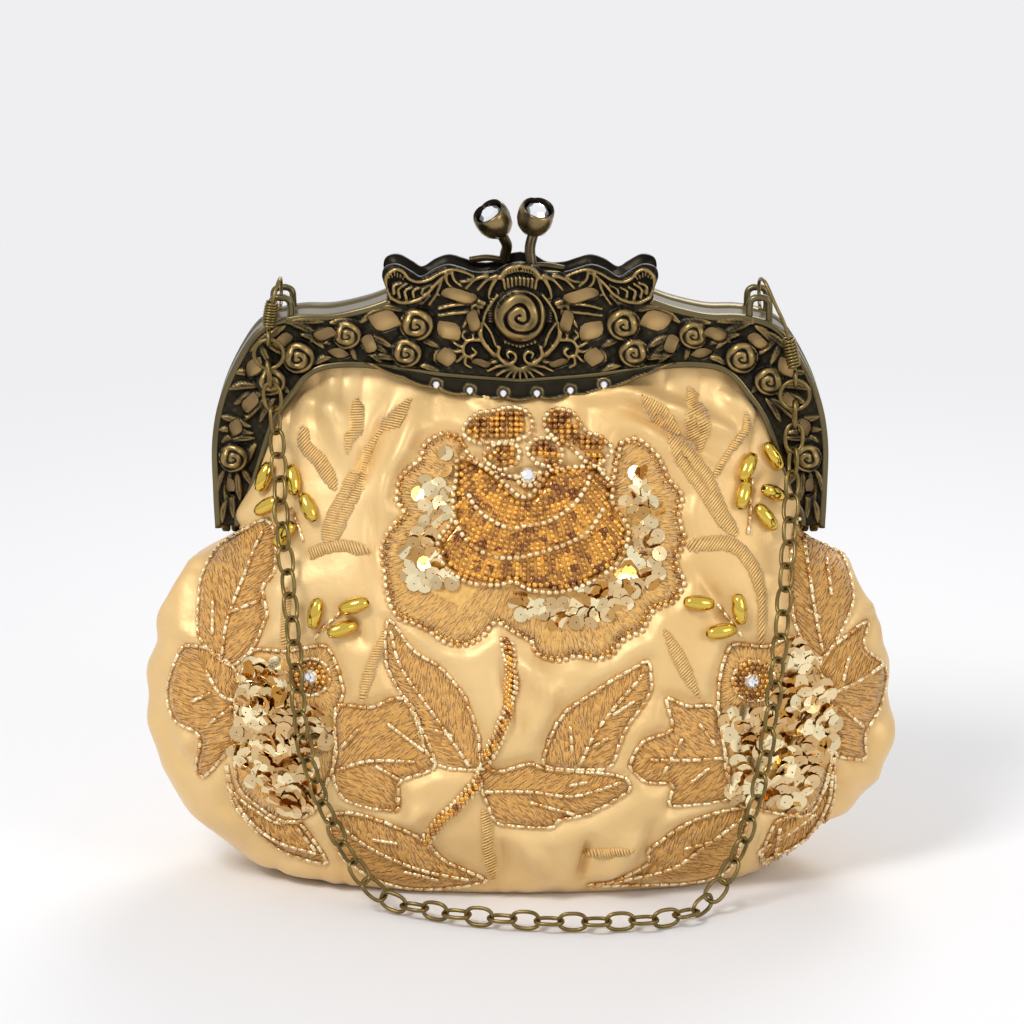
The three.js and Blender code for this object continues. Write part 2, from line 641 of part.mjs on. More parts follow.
// Frame half, made as the front one; the back one is the same casting turned round
function casting({ withRail, earInside }) {
  const face = -frontFace;
  const plateBack = face + plateThickness;
  const parting = -partingGap;
  const outer = [...crestEdge, ...shoulderEdge];
  const rightBand = [...outer, ...[...innerEdge].reverse()];
  const leftBand = rightBand.map(([x, z]) => [-x, z]).reverse();
  const holes = piercings.map((p) => lens(...p));
  const mirror = (list) => list.map(([x, z]) => [-x, z]).reverse();
  let whole = solid(plate(rightBand, face, plateBack, holes)).add(
    solid(plate(leftBand, face, plateBack, holes.map(mirror))),
  );
  const proud = face - flangeProud;
  const pieces = [
    strip(mirroredLine(innerEdge), flangeWidth, proud, parting),
    strip(mirroredLine(crestFlange), flangeWidth, plateBack - 0.4, parting),
  ];
  for (const sign of [-1, 1]) {
    const sided = (list) => list.map(([x, z]) => [sign * x, z]);
    pieces.push(strip(sided(outerLine), flangeWidth, proud, parting));
    for (const [x, z, radius] of castRoses)
      pieces.push(
        dome(7).scale(radius, radius * roseRise, radius).translate(sign * x, face, z),
      );
    for (const [x, z, halfLength, halfWidth, degrees] of withRail ? castLeaves : [])
      pieces.push(
        plate(lens(sign * x, z, halfLength, halfWidth, sign * degrees, 4), face - leafRise, face + 0.4),
      );
    pieces.push(lug(sign, face));
  }
  pieces.push(
    dome(10)
      .scale(middleRose.halfWidth, middleRose.rise, middleRose.halfHeight)
      .translate(middleRose.x, face, middleRose.z),
  );
  if (withRail) pieces.push(gemRail(face));
  for (const piece of pieces) whole = whole.add(solid(piece));
  // Room at each foot for the other half's ear and the pin's heads, then this half's own ears
  for (const sign of [-1, 1]) {
    const other = earInside === frontEarInside ? backEarInside : frontEarInside;
    const earRoom = earThickness + 2 * clearance;
    whole = whole.subtract(ear(sign, other - clearance, earRoom, earRadius + clearance));
    const headRoom = pinHeadThickness + 2 * clearance;
    for (const inside of [frontEarInside - headRoom, backEarInside + earThickness])
      whole = whole.subtract(ear(sign, inside, headRoom, pinHeadRadius + clearance));
    whole = whole.add(ear(sign, earInside, earThickness, earRadius));
    whole = whole.subtract(ear(sign, earInside - 4, earThickness + 12, pinRadius + clearance));
  }
  return whole;
}

// Middle of the outer flange, just inside the outer edge
const outerLine = shoulderEdge.map(([x, z]) => [x - flangeWidth * 0.45, z - flangeWidth * 0.35]);

const mirroredLine = (half) => [...half.map(([x, z]) => [-x, z]).reverse(), ...half.filter(([x]) => x > 0)];

// A disc on the hinge axis
function ear(sign, inside, thickness, radius) {
  return solid(
    new THREE.CylinderGeometry(radius, radius, thickness, 16)
      .rotateZ(Math.PI / 2)
      .translate(sign * (inside + thickness / 2), 0, hingeHeight),
  );
}

// The arch that a clip hooks into: two legs and a round bar
function lug(sign, face) {
  const legs = [-1, 1].map((leg) =>
    new THREE.BoxGeometry(lugLegWidth, 2 * lugBarRadius - 0.2, lugLegLength).translate(
      sign * lugPlace + leg * lugHalfWidth,
      face + plateThickness / 2,
      lugAxisHeight - lugLegLength / 2,
    ),
  );
  const bar = new THREE.CylinderGeometry(lugBarRadius, lugBarRadius, 2 * lugHalfWidth + lugLegWidth, 8)
    .rotateZ(Math.PI / 2)
    .translate(sign * lugPlace, face + plateThickness / 2, lugAxisHeight);
  return joined([...legs, bar]);
}

// Scalloped rail under the inner bar
function gemRail(face) {
  const level = (x) => railHeight + railRise * x * x;
  const steps = 28;
  const lower = Array.from({ length: steps + 1 }, (_, i) => {
    const x = railHalfLength * ((2 * i) / steps - 1);
    const taper = 1 - (Math.abs(x) / railHalfLength) ** 3;
    const scallop = scallopDepth * Math.abs(Math.cos((Math.PI * x) / stonePitch));
    return [x, level(x) - taper * (railRoom + scallop)];
  });
  const upper = [[railHalfLength / 2, railReach], [0, railReach - 1.4], [-railHalfLength / 2, railReach]];
  return plate([...lower, ...upper.map(([x, z]) => [x, railHeight + z])], face, face + railThickness);
}

// Satin glued behind the openwork, cut to lie between the flanges
function backing() {
  const front = -frontFace + plateThickness + clearance;
  const back = front + backingThickness;
  const half = [...crestEdge, ...shoulderEdge, ...[...innerEdge].reverse()];
  const sheets = [half, half.map(([x, z]) => [-x, z]).reverse()].map((outline) =>
    solid(plate(outline, front, back)),
  );
  const seam = new THREE.BoxGeometry(2, backingThickness, 24).translate(0, (front + back) / 2, 168);
  let sheet = sheets[0].add(sheets[1]).add(solid(seam));
  const room = (line, extra = 0) =>
    solid(strip(line, flangeWidth + extra + 2 * clearance, front - 1, back + 1));
  sheet = sheet.subtract(room(mirroredLine(innerEdge))).subtract(room(mirroredLine(crestFlange)));
  for (const sign of [-1, 1]) {
    sheet = sheet.subtract(room(outerLine.map(([x, z]) => [sign * x, z]), 0.6));
    sheet = sheet.subtract(
      solid(new THREE.BoxGeometry(16, 4, 20).translate(sign * (frontEarInside + 3), front, hingeHeight)),
    );
  }
  return geometryOf(
    sheet.decompose().reduce((most, piece) => (piece.volume() > most.volume() ? piece : most)),
  );
}

// Kiss-lock bud: a cup on a bent stem with a leaf tab behind the crest
function bud({ centre, aim, stem, tab }) {
  const cup = new THREE.LatheGeometry(
    [
      [0, -1], [0.44, -0.91], [0.85, -0.53], [1, 0], [0.95, 0.47], [0.76, 0.8],
      [0.56, 0.76], [0.51, socketDepth + 0.04], [0, socketDepth],
    ].map(([r, y]) => new THREE.Vector2(r * budRadius, y * budRadius)),
    10,
  );
  const shell = aimed(cup, aim).translate(...centre);
  const leafTab = new THREE.SphereGeometry(1, 8, 4).scale(tabHalfLength, tabHalfDepth, 2).translate(...tab);
  return joined([shell, tube(stem, stemRadius, 6, 8), leafTab]);
}

function budStone({ centre, aim }) {
  const height = socketDepth * budRadius + clearance + budStoneHeight / 2;
  const place = new THREE.Vector3(...centre).addScaledVector(new THREE.Vector3(...aim).normalize(), height);
  const stone = new THREE.CylinderGeometry(0.6 * budStoneRadius, budStoneRadius, budStoneHeight, 8);
  return aimed(stone, aim).translate(...place.toArray());
}

// A chain link or a ring: an oval of round wire in the plane of two directions
function oval(centre, along, across, halfLength, halfWidth, wire, steps, sections) {
  const normal = new THREE.Vector3().crossVectors(along, across).normalize();
  const rings = [];
  for (let i = 0; i < steps; i++) {
    const angle = (2 * Math.PI * i) / steps;
    const power = 0.8;
    const c = Math.cos(angle);
    const s = Math.sin(angle);
    const u = Math.sign(c) * Math.abs(c) ** power * halfLength;
    const v = Math.sign(s) * Math.abs(s) ** power * halfWidth;
    const middle = centre.clone().addScaledVector(along, u).addScaledVector(across, v);
    const out = new THREE.Vector3().addScaledVector(along, c).addScaledVector(across, s).normalize();
    rings.push(
      Array.from({ length: sections }, (_, k) => {
        const turn = (2 * Math.PI * k) / sections;
        const p = middle
          .clone()
          .addScaledVector(out, wire * Math.cos(turn))
          .addScaledVector(normal, wire * Math.sin(turn));
        return [p.x, p.y, p.z];
      }),
    );
  }
  const points = rings.flat();
  const faces = [];
  for (let i = 0; i < steps; i++)
    for (let k = 0; k < sections; k++) {
      const a = i * sections + k;
      const b = i * sections + ((k + 1) % sections);
      const c = ((i + 1) % steps) * sections + k;
      const d = ((i + 1) % steps) * sections + ((k + 1) % sections);
      faces.push(a, c, d, a, d, b);
    }
  const geometry = new THREE.BufferGeometry();
  geometry.setAttribute("position", new THREE.Float32BufferAttribute(points.flat(), 3));
  geometry.setIndex(faces);
  return geometry;
}

// Links along the route, fused where they touch inside a run and loose between one run and the next
function chainRuns() {
  const toLink = linkLength / 2 - 1.5 * linkWire - 3 * clearance;
  const under = new THREE.Vector3(0, 0, -ringRadius - toLink);
  const [first, last] = [sides.left, sides.right].map(({ sign, ring }) =>
    new THREE.Vector3(...fromLug(sign, ring)).add(under),
  );
  const middle = chainRoute.map((p) => new THREE.Vector3(...p));
  const curve = new THREE.CatmullRomCurve3([first, ...middle, last], false, "centripetal");
  curve.arcLengthDivisions = 800;
  const length = curve.getLength();
  const boundaries = runCount - 1;
  // An odd count lets the first and the last link both stand across their rings
  const count = 2 * Math.round((length + boundaries * (joinedPitch - loosePitch)) / joinedPitch / 2) + 1;
  const stretch = length / ((count - 1 - boundaries) * joinedPitch + boundaries * loosePitch);
  const perRun = count / runCount;
  const runs = Array.from({ length: runCount }, () => []);
  let distance = 0;
  let run = 0;
  for (let i = 0; i < count; i++) {
    const at = Math.min(1, distance / length);
    const centre = curve.getPointAt(at);
    const along = curve.getTangentAt(at);
    // Links lean to either side where the chain hangs, and stand and lie in turn on the table
    const lying = 1 - fade(5, 12, centre.z);
    const near = Math.min(distance, length - distance);
    const lean = (Math.PI / 4) * (1 - lying) * fade(0, 28, near);
    const out = new THREE.Vector3(0, -1 + lying, lying).normalize();
    const acrossFlat = new THREE.Vector3().crossVectors(along, out).normalize();
    const outward = new THREE.Vector3().crossVectors(acrossFlat, along).normalize();
    const turn = lean + (i % 2 ? Math.PI / 2 : 0);
    const across = outward
      .clone()
      .multiplyScalar(Math.cos(turn))
      .addScaledVector(acrossFlat, Math.sin(turn));
    runs[run].push(
      oval(centre, along, across, (linkLength - linkWire) / 2, (linkWidth - linkWire) / 2,
        linkFullness * linkWire / 2, linkSteps, linkSides),
    );
    const nextRun = Math.min(runCount - 1, Math.floor((i + 1) / perRun));
    distance += (nextRun === run ? joinedPitch : loosePitch) * stretch;
    run = nextRun;
  }
  return runs.map((links) => joined(links));
}

// A clip: a hook of wire with its eye on a jump ring, and a coil spring round its shank
function clip({ sign, ring, hook, spring }) {
  const up = new THREE.Vector3(0, 0, 1);
  const ringCentre = new THREE.Vector3(...fromLug(sign, ring));
  const eyeCentre = ringCentre.clone().addScaledVector(up, ringRadius + 0.6);
  const forward = new THREE.Vector3(0, 1, 0);
  const eye = oval(eyeCentre, up, forward, eyeRadius, eyeRadius, clipWire / 2, 10, 5);
  const start = eyeCentre.clone().addScaledVector(up, eyeRadius).toArray();
  const wire = tube([start, ...hook.map((p) => fromLug(sign, p))], clipWire / 2, 5, 20);
  const [low, high] = spring.map((p) => new THREE.Vector3(...fromLug(sign, p)));
  const long = low.distanceTo(high);
  const bore = clipWire / 2 + clearance;
  const profile = [new THREE.Vector2(bore, -long / 2)];
  const valley = springRadius - clipWire / 2;
  for (let i = 0; i < springTurns; i++) {
    const from = -long / 2 + (long * i) / springTurns;
    profile.push(new THREE.Vector2(valley, from + 0.02));
    profile.push(new THREE.Vector2(springRadius, from + long / springTurns / 2));
  }
  profile.push(new THREE.Vector2(valley, long / 2));
  profile.push(new THREE.Vector2(bore, long / 2));
  profile.push(profile[0].clone());
  const coil = aimed(new THREE.LatheGeometry(profile, 8), high.clone().sub(low).toArray()).translate(
    ...low.clone().add(high).multiplyScalar(0.5).toArray(),
  );
  const across = new THREE.Vector3(1, 0, 0);
  const jumpRing = oval(ringCentre, up, across, ringRadius, ringRadius, ringWire / 2, 12, 5);
  return { hook: joined([eye, wire]), spring: coil, ring: jumpRing };
}

function hingePin(sign) {
  const stack = 2 * earThickness + clearance;
  const shank = stack + 2 * clearance;
  const middle = frontEarInside + stack / 2;
  const rod = new THREE.CylinderGeometry(pinRadius, pinRadius, shank + 1, 12);
  const heads = [-1, 1].map((end) =>
    new THREE.CylinderGeometry(pinHeadRadius, pinHeadRadius, pinHeadThickness, 12).translate(
      0,
      (end * (shank + pinHeadThickness)) / 2,
      0,
    ),
  );
  return joined([rod, ...heads])
    .rotateZ(Math.PI / 2)
    .translate(sign * middle, 0, hingeHeight);
}

// Assembly
const group = new THREE.Group();
group.name = "evening_bag";
const bag = new THREE.Group();
const backHalf = new THREE.Group();
const strap = new THREE.Group();
group.add(bag, backHalf, strap);

function add(parent, name, geometry, material) {
  const mesh = new THREE.Mesh(geometry, material);
  mesh.name = name;
  parent.add(mesh);
  return mesh;
}

// The bag's front half, which stays still
const frontPanel = solid(panel(-1, rimHeight - 5, true));
// The rim is cut away where the lower corners of the back half swing down as it opens
const cornerRoom = [-1, 1].map((sign) =>
  solid(new THREE.BoxGeometry(4.6, 4, 3.4).translate(sign * (frontEarInside + 7.4), 7.4, rimHeight)),
);
const cutSack = cornerRoom.reduce((whole, room) => whole.subtract(room), solid(sack()));
add(bag, "pouch", geometryOf(cutSack.add(frontPanel)), satin());
add(bag, "lining", lining(), satin());
add(bag, "front_frame", geometryOf(casting({ withRail: true, earInside: frontEarInside })), antiqueBrass());
add(bag, "front_backing", backing(), satin());
for (let i = 0; i < stoneCount; i++) {
  const x = (i - (stoneCount - 1) / 2) * stonePitch;
  const stone = gem(stoneRadius, stoneHeight).rotateX(Math.PI);
  stone.translate(x, -frontFace - clearance - stoneHeight / 2, railHeight + railRise * x * x);
  add(bag, "rail_stone_" + (i + 1), stone, crystal());
}
add(bag, "front_clasp_bud", bud(frontBud), antiqueBrass());
add(bag, "front_clasp_stone", budStone(frontBud), crystal());
for (const [name, sign] of [["left", -1], ["right", 1]])
  add(bag, "hinge_pin_" + name, hingePin(sign), antiqueBrass());
add(bag, "rose_applique", pad(roseOutline, roseRings, roseRelief, roseMiddle), beadwork());
for (const [name, outline] of Object.entries(flowers))
  add(bag, name, pad(outline, padRings, padRelief), sequins());
for (const [name, outline] of Object.entries(leaves))
  add(bag, name, pad(outline, padRings, padRelief), beadwork());
add(bag, "beaded_stem", beadedStem(), beadwork());
for (const [name, beads] of Object.entries(sprays)) add(bag, name, oatSpray(beads), goldBead());
for (const [name, { place, lift }] of Object.entries(crystals)) {
  const seat = onSatin(...place, sewnGap + lift + clearance + crystalHeight / 2);
  add(
    bag,
    name,
    aimed(gem(crystalRadius, crystalHeight), seat.normal.toArray()).translate(...seat.place.toArray()),
    crystal(),
  );
}

// The back half, which swings on the hinge pins
const turned = (geometry) => geometry.rotateZ(Math.PI);
add(
  backHalf,
  "back_frame",
  turned(geometryOf(casting({ withRail: false, earInside: backEarInside }))),
  antiqueBrass(),
);
add(backHalf, "back_backing", turned(backing()), satin());
add(backHalf, "back_panel", panel(1, rimHeight + 1, false), satin());
add(backHalf, "back_clasp_bud", bud(backBud), antiqueBrass());
add(backHalf, "back_clasp_stone", budStone(backBud), crystal());

// The chain with its clips, which swings on the lugs
for (const side of ["left", "right"]) {
  const pieces = clip(sides[side]);
  add(strap, side + "_clip_hook", pieces.hook, springBrass());
  add(strap, side + "_clip_spring", pieces.spring, springBrass());
  add(strap, side + "_ring", pieces.ring, springBrass());
}
chainRuns().forEach((run, i) => add(strap, "chain_run_" + (i + 1), run, springBrass()));

export default group;
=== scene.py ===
# %% [markdown]
# # A beaded evening bag
# A small satin pouch hangs on a cast openwork frame of antiqued brass. The front carries a rose, two
# side flowers and leaves, all worked in satin stitch, seed beads, bugle beads and sequins, and a cable
# chain hooks onto two lugs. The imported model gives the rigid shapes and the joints. This script makes
# the cloth, the needlework, the fine casting and the finishes around it.

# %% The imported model
import math

import bpy
import numpy as np
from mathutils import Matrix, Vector
from mathutils.bvhtree import BVHTree
from mathutils.geometry import delaunay_2d_cdt


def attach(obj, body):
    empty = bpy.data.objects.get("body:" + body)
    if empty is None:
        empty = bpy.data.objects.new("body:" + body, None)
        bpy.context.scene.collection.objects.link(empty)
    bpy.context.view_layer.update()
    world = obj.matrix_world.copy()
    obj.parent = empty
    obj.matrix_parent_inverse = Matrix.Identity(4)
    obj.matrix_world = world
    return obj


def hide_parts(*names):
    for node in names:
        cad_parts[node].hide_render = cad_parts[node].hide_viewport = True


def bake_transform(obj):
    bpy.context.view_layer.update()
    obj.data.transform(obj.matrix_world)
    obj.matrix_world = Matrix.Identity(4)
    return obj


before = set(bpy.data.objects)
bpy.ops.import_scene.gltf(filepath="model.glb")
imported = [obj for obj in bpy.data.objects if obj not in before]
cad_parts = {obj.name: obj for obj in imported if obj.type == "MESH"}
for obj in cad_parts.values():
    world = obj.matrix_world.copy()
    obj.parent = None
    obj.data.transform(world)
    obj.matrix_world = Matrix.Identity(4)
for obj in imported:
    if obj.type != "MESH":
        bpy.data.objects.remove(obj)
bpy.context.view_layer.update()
MM = 0.001

# %% [markdown]
# ## The camera comes first
# The needlework was traced on the photograph, so the camera is set before anything is sewn on: a traced
# pixel becomes a ray from the camera, and the bead or stitch sits where that ray meets the satin. The
# view is from 15 degrees above, 1.3 m away, at 0.30 mm to a pixel around the middle of the bag.

# %% Camera
PIXELS = 1024
PIXEL_SIZE = 0.30 * MM
VIEW_HEIGHT = math.radians(15)
VIEW_DISTANCE = 1.3
VIEW_TARGET = Vector((-2.4 * MM, 0, 111 * MM))
SENSOR = 36.0
view_back = Vector((0, -math.cos(VIEW_HEIGHT), math.sin(VIEW_HEIGHT)))
view_up = Vector((0, math.sin(VIEW_HEIGHT), math.cos(VIEW_HEIGHT)))
view_right = Vector((1, 0, 0))
eye = VIEW_TARGET + view_back * VIEW_DISTANCE
camera = bpy.data.objects.new("camera", bpy.data.cameras.new("camera"))
bpy.context.scene.collection.objects.link(camera)
camera.data.sensor_width = SENSOR
camera.data.lens = SENSOR * VIEW_DISTANCE / (PIXELS * PIXEL_SIZE)
camera.location = eye
camera.rotation_euler = (math.pi / 2 - VIEW_HEIGHT, 0, 0)
bpy.context.scene.camera = camera
MIDDLE_PIXEL = PIXELS / 2
print("lens", round(camera.data.lens, 1))


def pixel_ray(px, py):
    """From the camera to where a pixel lies, at the distance of the bag's middle."""
    return (view_right * ((px - MIDDLE_PIXEL) * PIXEL_SIZE) + view_up * ((MIDDLE_PIXEL - py) * PIXEL_SIZE)
            - view_back * VIEW_DISTANCE)


# %% [markdown]
# ## Light and floor
# A plain pale sweep under soft light. Two big soft lamps in front and one behind light the bag at a
# level where a colour renders about as it is written.

# %% Floor and lamps
def linear(code):
    """The linear colour of an sRGB hex code such as E3C48A."""
    values = [int(code[i:i + 2], 16) / 255 for i in (0, 2, 4)]
    return [v / 12.92 if v <= 0.04045 else ((v + 0.055) / 1.055) ** 2.4 for v in values] + [1.0]


def add(tree, kind, inputs=None, **settings):
    """Adds a node with its settings; an input is a value or another node's socket."""
    made = tree.nodes.new(kind)
    for key, value in settings.items():
        setattr(made, key, value)
    for key, value in (inputs or {}).items():
        if isinstance(value, bpy.types.NodeSocket):
            tree.links.new(value, made.inputs[key])
        else:
            made.inputs[key].default_value = value
    return made


def finish(name, **values):
    """A material with a Principled shader whose plain sockets are set here."""
    made = bpy.data.materials.new(name)
    made.use_nodes = True
    shader = made.node_tree.nodes["Principled BSDF"]
    for key, value in values.items():
        shader.inputs[key.replace("_", " ")].default_value = value
    return made, made.node_tree, shader


def speckle(tree, scale, detail):
    """Noise in a piece's own space, so that it stays with the piece when that moves."""
    where = add(tree, "ShaderNodeTexCoord")
    return add(tree, "ShaderNodeTexNoise",
               {"Vector": where.outputs["Object"], "Scale": scale, "Detail": detail})


def two_tone(tree, shader, share, deep, bright):
    """Lets the colour of a finish wander between two sRGB codes with a node's share."""
    tint = add(tree, "ShaderNodeMix", {"Factor": share, "A": linear(deep), "B": linear(bright)},
               data_type="RGBA")
    tree.links.new(tint.outputs["Result"], shader.inputs["Base Color"])


# Metres from the bag where the paper starts to whiten and where it is white, and how bright white is
WHITE_FROM, WHITE_FULL, WHITE_LEVEL = 0.18, 0.75, 0.9
AMBIENT_LEVEL = 0.55
floor_paper, tree, shader = finish("backdrop_paper", Base_Color=linear("F1F1F2"), Roughness=0.9)
# Away from the bag the paper is as white as the wall, so no horizon shows
where = add(tree, "ShaderNodeTexCoord")
reach = add(tree, "ShaderNodeVectorMath", {0: where.outputs["Object"]}, operation="LENGTH")
far = add(tree, "ShaderNodeMapRange",
          {"Value": reach.outputs["Value"], "From Min": WHITE_FROM, "From Max": WHITE_FULL},
          interpolation_type="SMOOTHSTEP")
lamp_rays = add(tree, "ShaderNodeLightPath")
amount = add(tree, "ShaderNodeMath", {0: far.outputs["Result"], 1: lamp_rays.outputs["Is Camera Ray"]},
             operation="MULTIPLY")
white = add(tree, "ShaderNodeEmission", {"Color": linear("FAFAFC"), "Strength": WHITE_LEVEL})
blend = add(tree, "ShaderNodeMixShader",
            {"Fac": amount.outputs[0], 1: shader.outputs[0], 2: white.outputs[0]})
tree.links.new(blend.outputs[0], tree.nodes["Material Output"].inputs["Surface"])
FLOOR_HALF = 3.0
floor_mesh = bpy.data.meshes.new("floor")
floor_mesh.from_pydata(
    [(-FLOOR_HALF, -FLOOR_HALF, 0), (FLOOR_HALF, -FLOOR_HALF, 0), (FLOOR_HALF, FLOOR_HALF, 0),
     (-FLOOR_HALF, FLOOR_HALF, 0)], [], [(0, 1, 2, 3)])
floor_mesh.materials.append(floor_paper)
floor = bpy.data.objects.new("floor", floor_mesh)
bpy.context.scene.collection.objects.link(floor)

world = bpy.data.worlds.new("studio")
bpy.context.scene.world = world
world.use_nodes = True
sky = world.node_tree
path = add(sky, "ShaderNodeLightPath")
bright = add(sky, "ShaderNodeMath",
             {0: path.outputs["Is Glossy Ray"], 1: path.outputs["Is Transmission Ray"]}, operation="MAXIMUM")
seen = add(sky, "ShaderNodeMath", {0: path.outputs["Is Camera Ray"], 1: bright.outputs[0]},
           operation="MAXIMUM")
strength = add(sky, "ShaderNodeMapRange",
               {"Value": seen.outputs[0], "To Min": AMBIENT_LEVEL, "To Max": WHITE_LEVEL})
ambient = sky.nodes["Background"]
ambient.inputs["Color"].default_value = linear("FAFAFC")
sky.links.new(strength.outputs["Result"], ambient.inputs["Strength"])


def lamp(name, place, size, power):
    """A square soft lamp that looks at the middle of the bag."""
    light = bpy.data.lights.new(name, "AREA")
    light.shape = "SQUARE"
    light.size = size
    light.energy = power
    made = bpy.data.objects.new(name, light)
    made.location = place
    made.rotation_euler = (VIEW_TARGET - Vector(place)).to_track_quat("-Z", "Y").to_euler()
    bpy.context.scene.collection.objects.link(made)


lamp("key", (-0.55, -0.75, 1.05), size=0.4, power=9.0)
lamp("fill", (0.95, -0.85, 0.55), size=0.5, power=3.2)
lamp("back", (0.25, 0.95, 0.95), size=0.6, power=6.0)
bpy.context.scene.view_settings.view_transform = "Standard"
print("stage set")

# %% [markdown]
# ## Small tools
# Meshes here come from arrays: a grid of points skinned with quads. Lines are smoothed by a
# Catmull-Rom spline and then cut into steps of even length, because beads on a thread sit evenly.

# %% Tools
def mesh_piece(name, points, faces, material, smooth=True):
    """A mesh object at the origin with its points in the part's own frame, in metres."""
    mesh = bpy.data.meshes.new(name)
    mesh.from_pydata([tuple(p) for p in points], [], [tuple(int(i) for i in f) for f in faces])
    mesh.materials.append(material)
    mesh.polygons.foreach_set("use_smooth", [smooth] * len(mesh.polygons))
    mesh.update()
    made = bpy.data.objects.new(name, mesh)
    bpy.context.scene.collection.objects.link(made)
    return made


def grid_faces(rows, columns, closed=False):
    """Quads between rows of points that are numbered row by row."""
    wide = columns if closed else columns - 1
    return [(r * columns + c, r * columns + (c + 1) % columns, (r + 1) * columns + (c + 1) % columns,
             (r + 1) * columns + c) for r in range(rows - 1) for c in range(wide)]


def spline(points, steps=8, closed=False):
    """A Catmull-Rom curve through the points."""
    p = np.array(points, float)
    if closed:
        p = np.vstack([p[-1], p, p[0], p[1]])
    else:
        p = np.vstack([2 * p[0] - p[1], p, 2 * p[-1] - p[-2]])
    a, b, c, d = p[:-3, None], p[1:-2, None], p[2:-1, None], p[3:, None]
    t = np.linspace(0, 1, steps, endpoint=False)[None, :, None]
    curve = 0.5 * (2 * b + (c - a) * t + (2 * a - 5 * b + 4 * c - d) * t**2 + (3 * b - a - 3 * c + d) * t**3)
    curve = curve.reshape(-1, p.shape[1])
    return curve if closed else np.vstack([curve, p[-2]])


def read_at(points, along, at):
    """Points of a line at given lengths along it; along holds the length at each of its own points."""
    return np.stack([np.interp(at, along, points[:, k]) for k in range(points.shape[1])], 1)


def evenly(points, step, closed=False):
    """The line cut into steps of one length: places and directions at the middle of each step."""
    p = np.array(points, float)
    if closed:
        p = np.vstack([p, p[0]])
    lengths = np.linalg.norm(np.diff(p, axis=0), axis=1)
    along = np.concatenate([[0], np.cumsum(lengths)])
    count = max(1, int(round(along[-1] / step)))
    at = (np.arange(count) + 0.5) * along[-1] / count
    reach = 0.45 * along[-1] / count
    way = read_at(p, along, at + reach) - read_at(p, along, at - reach)
    return read_at(p, along, at), way / np.maximum(np.linalg.norm(way, axis=1, keepdims=True), 1e-9)


def unit(v):
    return v / np.maximum(np.linalg.norm(v, axis=-1, keepdims=True), 1e-12)


def inside(outline, points):
    """Which of the points lie inside a flat outline."""
    shape = np.array(outline, float)
    x, y = points[:, 0][:, None], points[:, 1][:, None]
    x0, y0 = shape[:, 0], shape[:, 1]
    x1, y1 = np.roll(x0, -1), np.roll(y0, -1)
    crosses = (y0 > y) != (y1 > y)
    meets = (x1 - x0) * (y - y0) / np.where(y1 == y0, 1e-12, y1 - y0) + x0
    return (crosses & (x < meets)).sum(1) % 2 == 1


def distance_to(outline, points):
    """Distance from each point to a closed flat outline."""
    shape = np.array(outline, float)
    start, way = shape, np.roll(shape, -1, 0) - shape
    rel = points[:, None, :] - start[None]
    share = np.clip((rel * way).sum(2) / np.maximum((way**2).sum(1), 1e-12), 0, 1)
    return np.linalg.norm(rel - share[..., None] * way, axis=2).min(1)


def net_inside(rim, across, down, clear, margin=0):
    """An even net of points inside an outline, all further from it than clear."""
    low, high = rim.min(0) - margin, rim.max(0) + margin
    gx, gy = np.meshgrid(np.arange(low[0], high[0], across), np.arange(low[1], high[1], down))
    net = np.stack([gx.ravel(), gy.ravel()], 1)
    net = net[inside(rim, net)]
    return net[distance_to(rim, net) > clear]


def faceted(piece):
    """Flat facets, as cut glass and stamped foil have."""
    piece.data.polygons.foreach_set("use_smooth", [False] * len(piece.data.polygons))


def set_rubbed(piece, values):
    """How bright each point of a casting has been rubbed, from 0 to 1."""
    piece.data.attributes.new("rubbed", "FLOAT", "POINT").data.foreach_set("value", values)


rng = np.random.default_rng(11)

# %% [markdown]
# ## Repeats with Geometry Nodes
# Beads, sequins, stitches and chain links are one small shape set down many times. A cloud of points
# holds where each one goes, which way it runs and which way it faces, and one node tree puts the
# shape on every point, turns it by those two directions, and makes the copies real.

